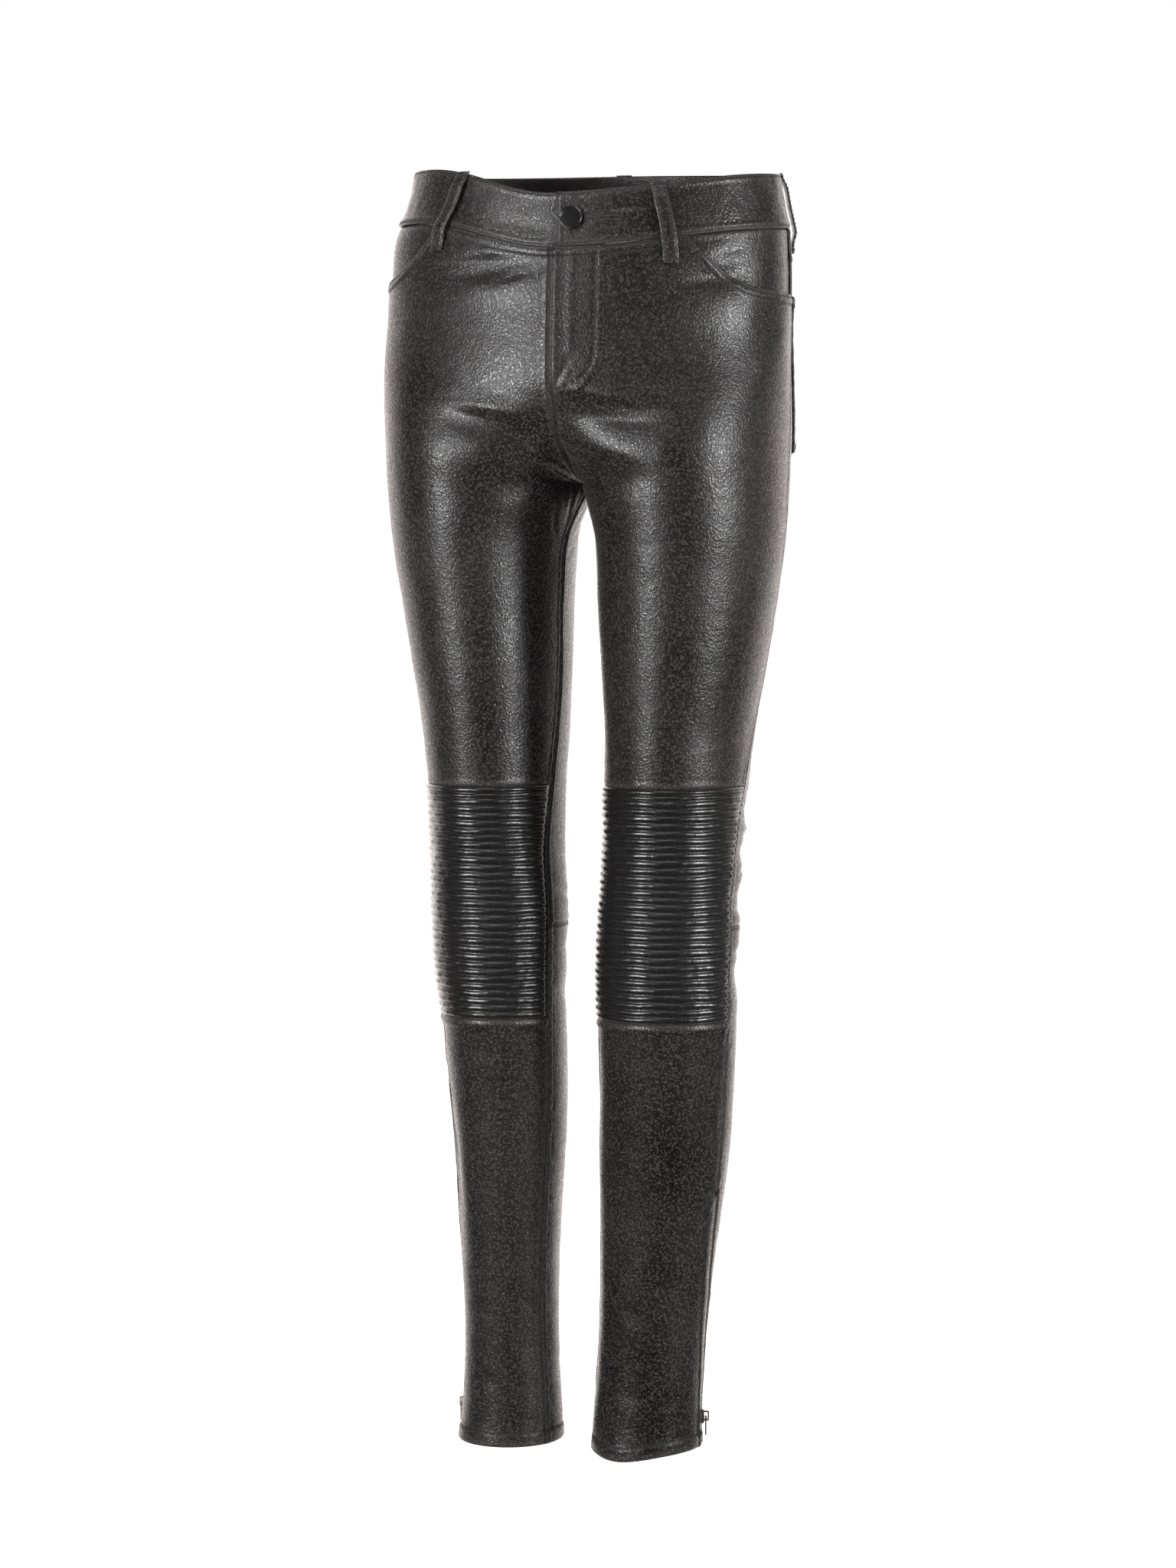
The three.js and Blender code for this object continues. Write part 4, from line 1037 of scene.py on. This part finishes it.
# One small shape repeated along rows, each a list of places with the cloth's outside there
def repeat_tree(name, make_shape, material):
    tree = bpy.data.node_groups.new(name, "GeometryNodeTree")
    tree.interface.new_socket("Geometry", in_out="INPUT", socket_type="NodeSocketGeometry")
    for socket in ("Pitch", "Length", "Width", "Height", "Stagger"):
        tree.interface.new_socket(socket, in_out="INPUT", socket_type="NodeSocketFloat")
    tree.interface.new_socket("Geometry", in_out="OUTPUT", socket_type="NodeSocketGeometry")
    given = tree.nodes.new("NodeGroupInput").outputs
    path = add_node(tree, "GeometryNodeMeshToCurve", Mesh=given["Geometry"]).outputs[0]
    pitch = given["Pitch"]
    spaced = add_node(tree, "GeometryNodeResampleCurve", {"mode": "LENGTH"}, Curve=path, Length=pitch)
    out = add_node(tree, "GeometryNodeInputNamedAttribute", {"data_type": "FLOAT_VECTOR"}, Name="outward")
    out = out.outputs["Attribute"]
    tangent = add_node(tree, "GeometryNodeInputTangent").outputs[0]
    turned = add_node(tree, "FunctionNodeAxesToRotation", {"primary_axis": "Z", "secondary_axis": "X"})
    across = add_node(tree, "ShaderNodeVectorMath", {"operation": "CROSS_PRODUCT"})
    for n, value in enumerate((out, tangent)):
        join(tree, turned.inputs[n], value)
        join(tree, across.inputs[n], value)
    index = add_node(tree, "GeometryNodeInputIndex").outputs[0]
    odd = add_math(tree, "SUBTRACT", add_math(tree, "MODULO", index, 2.0), 0.5)
    moved = add_node(tree, "ShaderNodeVectorMath", {"operation": "SCALE"}, Vector=across.outputs[0])
    join(tree, moved.inputs["Scale"], times(tree, odd, given["Stagger"]))
    placed = add_node(tree, "GeometryNodeSetPosition", Geometry=spaced.outputs[0], Offset=moved.outputs[0])
    size = add_node(tree, "ShaderNodeCombineXYZ", X=given["Length"], Y=given["Width"], Z=given["Height"])
    copies = add_node(
        tree,
        "GeometryNodeInstanceOnPoints",
        Points=placed.outputs[0],
        Instance=make_shape(tree),
        Rotation=turned.outputs[0],
        Scale=size.outputs[0],
    )
    real = add_node(tree, "GeometryNodeRealizeInstances", Geometry=copies.outputs[0])
    smooth = add_node(tree, "GeometryNodeSetShadeSmooth", Geometry=real.outputs[0])
    finished = add_node(tree, "GeometryNodeSetMaterial", Geometry=smooth.outputs[0], Material=material)
    result = tree.nodes.new("NodeGroupOutput")
    tree.links.new(finished.outputs[0], result.inputs[0])
    return tree


def stitch_shape(tree):
    return add_node(tree, "GeometryNodeMeshUVSphere", Segments=6, Rings=5, Radius=0.5).outputs["Mesh"]


stitch_tree = repeat_tree("stitches", stitch_shape, thread)


def repeated(name, rows, tree, pitch, length, width, height, stagger=0.0):
    places = np.concatenate([places for places, _ in rows])
    outs = np.concatenate([outs for _, outs in rows])
    lines = []
    first = 0
    for row_places, _ in rows:
        lines.extend((n, n + 1) for n in range(first, first + len(row_places) - 1))
        first += len(row_places)
    mesh = bpy.data.meshes.new(name + "_path")
    mesh.from_pydata((places * MILLIMETRE).tolist(), lines, [])
    given = mesh.attributes.new("outward", "FLOAT_VECTOR", "POINT")
    given.data.foreach_set("vector", outs.astype(np.float32).ravel())
    source = add_object(name + "_path", mesh)
    modifier = source.modifiers.new("repeat", "NODES")
    modifier.node_group = tree
    sockets = {s.name: s.identifier for s in tree.interface.items_tree if s.in_out == "INPUT"}
    sizes = {"Pitch": pitch, "Length": length, "Width": width, "Height": height, "Stagger": stagger}
    for socket, value in sizes.items():
        modifier[sockets[socket]] = value * MILLIMETRE
    depsgraph = bpy.context.evaluated_depsgraph_get()
    made = bpy.data.meshes.new_from_object(source.evaluated_get(depsgraph), depsgraph=depsgraph)
    bpy.data.objects.remove(source)
    return add_object(name, made)


# How high the thread lies: sunk into a groove, or on a padded edge
SUNK = -0.02
ON_PAD = SUNK + 0.2
STITCH = {"pitch": 3.2, "length": 2.6, "width": 0.7, "height": 0.6}


def sew_rows(name, rows):
    stitches = repeated(name, rows, stitch_tree, **STITCH)
    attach(stitches, "trousers")


def seam_turn(side, seam, distance, z):
    sign = 1 if distance > 0 else -1
    return seam + distance / cloth_per_turn(side, z, np.full_like(z, seam + sign * BESIDE))


def row_beside(side, seam, distance, high, low, lift=ON_PAD):
    z = np.arange(high, low, -2.0)
    return cloth_place(side, z, seam_turn(side, seam, distance, z), np.full_like(z, lift))


def row_across(side, start, end, height, lift=ON_PAD, above=no_lift):
    turn = np.linspace(start, end, 90)
    z = height(turn)
    return cloth_place(side, z, turn, lift + above(z, turn))


# The J-shaped rows of the fly, one line inside the other, sewn from the waistband down
FRONT_SEAM_TOP = -60
FLY_ROWS_TOP = -64.0
FLY_EDGE_ROW = 4.5
FLY_POINTS = 24
BACK_SEAM_TOP = -40
POCKET_HALF_WAY = -150.0


def fly_row(extra):
    bend = np.linspace(0, np.pi / 2, FLY_POINTS)
    deep = FLY_CURVE_TOP - FLY_INNER_END + extra
    straight = np.arange(FLY_ROWS_TOP, FLY_CURVE_TOP, -3)
    down = np.concatenate([straight, FLY_CURVE_TOP - deep * np.sin(bend)])
    out = np.concatenate([np.ones(len(straight)), np.cos(bend)]) * (FLY_WIDTH + extra)
    turn = out / cloth_per_turn(1, down, np.full_like(down, 0.06))
    return cloth_place(1, down, turn, fly_lift(1)(down, turn) + 0.45)


for side, label in SIDES.items():
    # centre front, on the wearer's left only below the fly, and inseam
    front_seam = FLY_INNER_END - 9 if side > 0 else FRONT_SEAM_TOP
    rows = [
        row_beside(side, 0, ROW_NEAR, front_seam, CROTCH - 2, SUNK),
        row_beside(side, 0, ROW_NEAR, CROTCH - 4, KNEE_TOP, SUNK),
    ]
    # two rows along the curved pocket opening and the waistband's seam
    over = fly_lift(side)
    for gap in (ROW_NEAR, ROW_FAR):
        rows.append(row_across(side, POCKET_START, 0.995, lambda t: pocket_edge(side, t) - gap))
        rows.append(row_across(side, 0.02, POCKET_START, lambda t: band_seam(side, t) - gap, above=over))
    if side > 0:
        z = np.arange(FLY_ROWS_TOP, FLY_END + 2, -2)
        turn = seam_turn(side, 0, FLY_EDGE_ROW, z)
        rows.append(cloth_place(side, z, turn, over(z, turn) + 0.6))
        rows.extend(fly_row(extra) for extra in (0, FLY_ROW_GAP))
    sew_rows("front_stitches_" + label, rows)

    # outseam, both sides of the ankle zip, back of the inseam, hem and seam behind the knee
    sew_rows("lower_leg_stitches_" + label, [
        row_beside(side, 1, -ROW_FAR, KNEE_BOTTOM - 12, ZIP_TOP),
        row_beside(side, 1, -ROW_FAR - ZIP_SLOT, ZIP_TOP, HEM + 2),
        row_beside(side, 1, ROW_FAR + ZIP_SLOT, ZIP_TOP, HEM + 2),
        row_beside(side, 2, -ROW_FAR, BACK_KNEE_SEAM - 4, HEM + 2),
        row_beside(side, 2, -ROW_FAR, CROTCH - 6, BACK_KNEE_SEAM + 2),
        row_across(side, 0.02, 0.96, lambda t: hem_height(side, t) + HEM_ROW),
        row_across(side, 1.04, 1.98, level(HEM + HEM_ROW)),
        row_across(side, 1.01, 1.99, level(BACK_KNEE_SEAM - ROW_NEAR), SUNK),
    ])

    # two rows under the yoke's seam, beside the centre back and round the back pocket, and its hem
    rows = []
    for gap in (ROW_NEAR, ROW_FAR):
        rows.append(row_across(side, 1.01, 1.985, lambda t: yoke_seam(t) - gap))
        rows.append(row_beside(side, 2, -gap, YOKE_BACK - 4, CROTCH))
        rows.append(row_beside(side, 2, -gap, BACK_SEAM_TOP, YOKE_BACK + 2))
        inset = gap / cloth_per_turn(side, np.array(POCKET_HALF_WAY), np.array(POCKET_MIDDLE))
        down = np.linspace(POCKET_TOP - 1, POCKET_BOTTOM + gap, 50)
        for edge, sign in ((POCKET_FROM, 1), (POCKET_TO, -1)):
            turn = np.full_like(down, edge + sign * inset)
            rows.append(cloth_place(side, down, turn, back_pocket_lift(down, turn) + ON_PAD))
        pocket = (POCKET_FROM + inset, POCKET_TO - inset)
        rows.append(row_across(side, *pocket, lambda t: back_pocket_bottom(t) + gap, above=back_pocket_lift))
    pocket_hem = level(POCKET_TOP - HEM_ROW)
    rows.append(row_across(side, POCKET_FROM, POCKET_TO, pocket_hem, above=back_pocket_lift))
    sew_rows("back_stitches_" + label, rows)

# both edges of the waistband, its lapped end and both edges of each loop
rows = []
for height in (ROW_NEAR, BAND_HEIGHT - ROW_NEAR):
    angle = np.linspace(1.8, 360, 520)
    theta = band_theta(angle)
    rows.append(hip_place(theta, waist_top(theta) - height, band_lift(angle) + SUNK))
down = np.linspace(1.5, BAND_HEIGHT - 2, 20)
lap_theta = np.full_like(down, 1.8)
rows.append(hip_place(lap_theta, waist_top(lap_theta) - down, np.full_like(down, band_lift(1.0) + SUNK)))
for angles in LOOPS.values():
    for edge in (-1, 1):
        down = np.linspace(0.04, 0.96, 40)
        across = np.full_like(down, edge * (LOOP_WIDTH / 2 - LOOP_EDGE_ROW))
        rows.append(loop_place(angles, down, across, down * 0 + SUNK - 0.2))
sew_rows("band_stitches", rows)

# A button with a domed black enamel cap in a thin bright metal rim. It is turned round one axis and
# riveted through the lapped end of the waistband.
BUTTON_RADIUS = 8.6
BUTTON_THICK = 3.4
BUTTON_THETA = 5.6
BUTTON_HEIGHT = -41.5
BUTTON_ROUND = 96
enamel, enamel_tree, where = new_material("black_enamel")
dust = add_noise(enamel_tree, where, 900.0, 3.0)
set_inputs(
    enamel_tree,
    enamel_tree.nodes["Principled BSDF"],
    Base_Color=add_mix(enamel_tree, dust, (0.004, 0.004, 0.004, 1), (0.012, 0.012, 0.012, 1)),
    Roughness=add_ramp(enamel_tree, dust, 0.1, 0.24),
    Coat_Weight=0.8,
    Coat_Roughness=0.08,
)


# Metal with fine scratches, darker where handling leaves it dull
def metal_material(name, bright, dull, rough, scratch):
    material, tree, where = new_material(name)
    drawn = add_node(tree, "ShaderNodeMapping", Vector=where, Scale=(1, 1, 0.12)).outputs[0]
    scratches = add_noise(tree, drawn, scratch, 3.0)
    tarnish = add_noise(tree, where, 420.0, 2.0)
    set_inputs(
        tree,
        tree.nodes["Principled BSDF"],
        Base_Color=add_mix(tree, tarnish, (*bright, 1), (*dull, 1)),
        Metallic=1,
        Roughness=add_ramp(tree, scratches, rough, rough + 0.18),
        Normal=add_bump(tree, scratches, 0.25, 0.00005),
    )
    return material


rim_metal = metal_material("button_rim", (0.22, 0.215, 0.21), (0.08, 0.08, 0.08), 0.2, 3000.0)


# A turned solid from its profile of radius and height, set on the leather with its axis along out. Its
# rings from first_rim to last_rim are of the first material, and the rest of it is of the second.
def turned_mesh(name, profile, foot, out, materials, first_rim, last_rim):
    frame_z = Vector(out).normalized()
    frame_x = frame_z.cross(Vector((0, 0, 1))).normalized()
    frame_y = frame_z.cross(frame_x)
    places = []
    for radius, height in profile[1:-1]:
        for n in range(BUTTON_ROUND):
            bend = 2 * math.pi * n / BUTTON_ROUND
            flat = frame_x * (radius * math.cos(bend)) + frame_y * (radius * math.sin(bend))
            places.append((Vector(foot) + flat + frame_z * height) * MILLIMETRE)
    last = len(places) - BUTTON_ROUND
    low = len(places)
    places.extend((Vector(foot) + frame_z * height) * MILLIMETRE for _, height in (profile[0], profile[-1]))
    faces = []
    kinds = []
    for n in range(BUTTON_ROUND):
        m = (n + 1) % BUTTON_ROUND
        faces.append((n, m, low))
        kinds.append(0)
        for ring in range(len(profile) - 3):
            a = ring * BUTTON_ROUND
            b = a + BUTTON_ROUND
            faces.append((a + n, b + n, b + m, a + m))
            kinds.append(0 if first_rim <= ring <= last_rim else 1)
        faces.append((last + m, last + n, low + 1))
        kinds.append(1)
    corner = [places[n] for n in faces[0]]
    if (corner[1] - corner[0]).cross(corner[2] - corner[0]).dot(frame_z) > 0:
        faces = [face[::-1] for face in faces]
    mesh = bpy.data.meshes.new(name)
    mesh.from_pydata([tuple(p) for p in places], [], faces)
    mesh.shade_smooth()
    for material in materials:
        mesh.materials.append(material)
    mesh.polygons.foreach_set("material_index", kinds)
    return add_object(name, mesh)


BUTTON_PROFILE = [
    (0, 0), (7.2, 0), (8.3, 0.35), (BUTTON_RADIUS, 1.0), (BUTTON_RADIUS, 2.5), (8.45, 3.05), (8.3, 3.32),
    (8.12, BUTTON_THICK), (7.95, 3.3), (7.86, 3.0), (7.8, 2.84), (7.6, 2.86), (6.8, 2.97), (5.2, 3.12),
    (3.4, 3.26), (1.6, 3.34), (0, 3.36),
]
BUTTON_LIFT = LAP + BAND_RAISE + 2 * SEAM
button_at = (np.array([value]) for value in (BUTTON_THETA, BUTTON_HEIGHT, BUTTON_LIFT))
button_foot, button_out = hip_place(*button_at)
button = turned_mesh("button_cap", BUTTON_PROFILE, button_foot[0], button_out[0], [rim_metal, enamel], 4, 8)
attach(button, "trousers")
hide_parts("fly_button")

# Dense stitches of the same thread across the rim of the buttonhole, and bar tacks of it where the fly,
# the loops and the corners of the back pockets are pulled
TACK = {"pitch": 0.55, "length": 0.5, "width": 2.2, "height": 0.7}
FLY_TACK = -147.5
HOLE = (9.2, 19.2)
HOLE_HALF = 1.3


def buttonhole_row(height):
    theta = np.linspace(*HOLE, 24)
    return hip_place(theta, np.full_like(theta, height), band_lift(theta) + 0.1)


rows = [buttonhole_row(BUTTON_HEIGHT + off) for off in (HOLE_HALF, -HOLE_HALF)]
end_theta = HOLE[1] + np.array([0, 0.5, 0])
end_height = BUTTON_HEIGHT + np.array([HOLE_HALF, 0, -HOLE_HALF])
rows.append(hip_place(end_theta, end_height, band_lift(end_theta) + 0.1))
buttonhole = repeated("buttonhole", rows, stitch_tree, pitch=0.5, length=0.45, width=1.7, height=0.6)
z = np.full(12, FLY_TACK)
turn = np.linspace(1.5, 13.5, 12) / cloth_per_turn(1, z, np.full(12, 0.04))
rows = [cloth_place(1, z, turn, fly_lift(1)(z, turn) + 0.65)]
for angles in LOOPS.values():
    for down in LOOP_TACKS:
        across = np.linspace(-LOOP_WIDTH / 2 + 0.8, LOOP_WIDTH / 2 - 0.8, 12)
        rows.append(loop_place(angles, np.full(12, down), across, np.full(12, -0.25)))
for side in SIDES:
    for place in (POCKET_FROM + 0.012, POCKET_TO - 0.012):
        down = np.linspace(POCKET_TOP - 1, POCKET_TOP - 9, 8)
        turn = np.full(8, place)
        rows.append(cloth_place(side, down, turn, back_pocket_lift(down, turn) + 0.2))
tacks = repeated("bar_tacks", rows, stitch_tree, **TACK)
for piece in (buttonhole, tacks):
    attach(piece, "trousers")

# Ankle zips: a woven tape sewn behind the open seam of each ankle, and metal teeth clamped on it in two
# meshing rows
TAPE_WIDTH = 11
TAPE_THICK = 0.8
TAPE_LIFT = -LEATHER - 3 * SEAM
CHAIN_THICK = 2.3
TOOTH = {"pitch": 1.05, "length": 0.82, "width": 3.2, "height": CHAIN_THICK, "stagger": 1.0}
tape_weave, tape_tree, where = new_material("zip_tape_weave")
ribs = add_node(tape_tree, "ShaderNodeTexWave", {"bands_direction": "Z"}, Vector=where, Scale=420.0)
ribs.inputs["Distortion"].default_value = 0.4
fibre = add_noise(tape_tree, where, 2400.0, 2.0)
set_inputs(
    tape_tree,
    tape_tree.nodes["Principled BSDF"],
    Base_Color=add_mix(tape_tree, fibre, (0.006, 0.006, 0.006, 1), (0.028, 0.027, 0.026, 1)),
    Normal=add_bump(tape_tree, plus(tape_tree, ribs.outputs["Fac"], fibre), 0.7, 0.0002),
    Roughness=0.85,
    Sheen_Weight=0.4,
)
zip_metal = metal_material("zip_metal", (0.78, 0.76, 0.72), (0.5, 0.48, 0.45), 0.22, 3500.0)


def tooth_shape(tree):
    tooth = add_node(tree, "GeometryNodeMeshCylinder", Vertices=8, Radius=0.5, Depth=1.0).outputs["Mesh"]
    return add_node(tree, "GeometryNodeTransform", Geometry=tooth, Rotation=(math.pi / 2, 0, 0)).outputs[0]


tooth_tree = repeat_tree("zip_teeth", tooth_shape, zip_metal)
for side, label in SIDES.items():
    rise = np.linspace(HEM + 3, ZIP_TOP + 6, 161)
    z, across = np.meshgrid(rise, np.linspace(-1, 1, 13), indexing="ij")
    turn = 1 + across * (TAPE_WIDTH / 2) / cloth_per_turn(side, z, np.ones_like(z))
    outer, _ = cloth_place(side, z, turn, TAPE_LIFT - 0.15 * (np.abs(across) > 0.8))
    inner, _ = cloth_place(side, coarse(z), coarse(turn), np.full_like(coarse(z), TAPE_LIFT - TAPE_THICK))
    tape = closed_wall("zip_weave_" + label, outer, inner, tape_weave)
    sew_in(tape, "zip_tape_" + label, "zip_tape", (0.011, 0.206))

    rise = np.arange(HEM + 5.6, ZIP_TOP - 3.4, 2.0)
    middle = TAPE_LIFT + SEAM + CHAIN_THICK / 2
    row = cloth_place(side, rise, np.ones_like(rise), np.full_like(rise, middle))
    teeth = repeated("zip_tooth_rows_" + label, [row], tooth_tree, **TOOTH)
    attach(teeth, "trousers")
    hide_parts("zip_teeth_" + label)

# The zips' sliders and their pull tabs, cast in metal and bright from handling. They keep the forms of the
# frame and take the zip metal.
for label in SIDES.values():
    for node in ("zip_slider_", "zip_pull_"):
        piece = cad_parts[node + label]
        for slot in piece.material_slots:
            slot.material = zip_metal

# The plain pale floor is lit evenly from all round. Soft studio light comes from a tall box on each side
# of the camera, a wide one above and a small one at the waistband, and the studio is white behind only.
FLOOR = -1.06
FLOOR_HALF = 30.0
floor_mesh = bpy.data.meshes.new("floor")
corners = [(x * FLOOR_HALF, y * FLOOR_HALF, FLOOR) for x, y in ((-1, -1), (1, -1), (1, 1), (-1, 1))]
floor_mesh.from_pydata(corners, [], [(0, 1, 2, 3)])
floor_material = bpy.data.materials.new("pale_paper")
floor_material.use_nodes = True
set_inputs(
    floor_material.node_tree,
    floor_material.node_tree.nodes["Principled BSDF"],
    Base_Color=(0.86, 0.86, 0.855, 1),
    Roughness=0.9,
    Emission_Color=(1, 1, 1, 1),
    Emission_Strength=0.93,
)
floor_mesh.materials.append(floor_material)
floor = add_object("floor", floor_mesh)
floor.visible_glossy = False

world = bpy.data.worlds.new("studio")
scene.world = world
world.use_nodes = True
world_tree = world.node_tree
direction = add_node(world_tree, "ShaderNodeTexCoord").outputs["Generated"]
behind = (-math.sin(CAMERA_AZIMUTH), math.cos(CAMERA_AZIMUTH), 0)
towards_back = add_node(world_tree, "ShaderNodeVectorMath", {"operation": "DOT_PRODUCT"})
join(world_tree, towards_back.inputs[0], direction)
join(world_tree, towards_back.inputs[1], behind)
white_wall = add_ramp(world_tree, towards_back.outputs["Value"], 0.05, 2.1, 0.4, 0.97, "SMOOTHSTEP")
seen = add_node(world_tree, "ShaderNodeLightPath").outputs["Is Camera Ray"]
unseen = add_math(world_tree, "SUBTRACT", 1.0, seen)
strength = plus(world_tree, times(world_tree, white_wall, unseen), seen)
tint = add_mix(world_tree, seen, (1, 0.93, 0.9, 1), (1, 1, 1, 1))
set_inputs(world_tree, world_tree.nodes["Background"], Color=tint, Strength=strength)


def soft_box(name, azimuth, height, distance, width, tall, power, aim, spread=180):
    light = bpy.data.lights.new(name, "AREA")
    light.shape = "RECTANGLE"
    light.size = width
    light.size_y = tall
    light.energy = power
    light.spread = math.radians(spread)
    stand(add_object(name, light), CAMERA_AZIMUTH + math.radians(azimuth), distance, height, aim)


soft_box("left_box", -46, -0.2, 2.2, 0.5, 0.8, 33, (0, 0, -0.3))
soft_box("right_box", 60, -0.15, 2.2, 0.42, 0.9, 34, (0, 0, -0.3))
soft_box("top_box", -5, 1.9, 1.6, 1.6, 0.9, 13, (0, 0, -0.4))
soft_box("waist_box", -48, 1.0, 2.2, 0.5, 0.3, 0.15, (0, 0, 0.06), 11)

scene.view_settings.view_transform = "Standard"
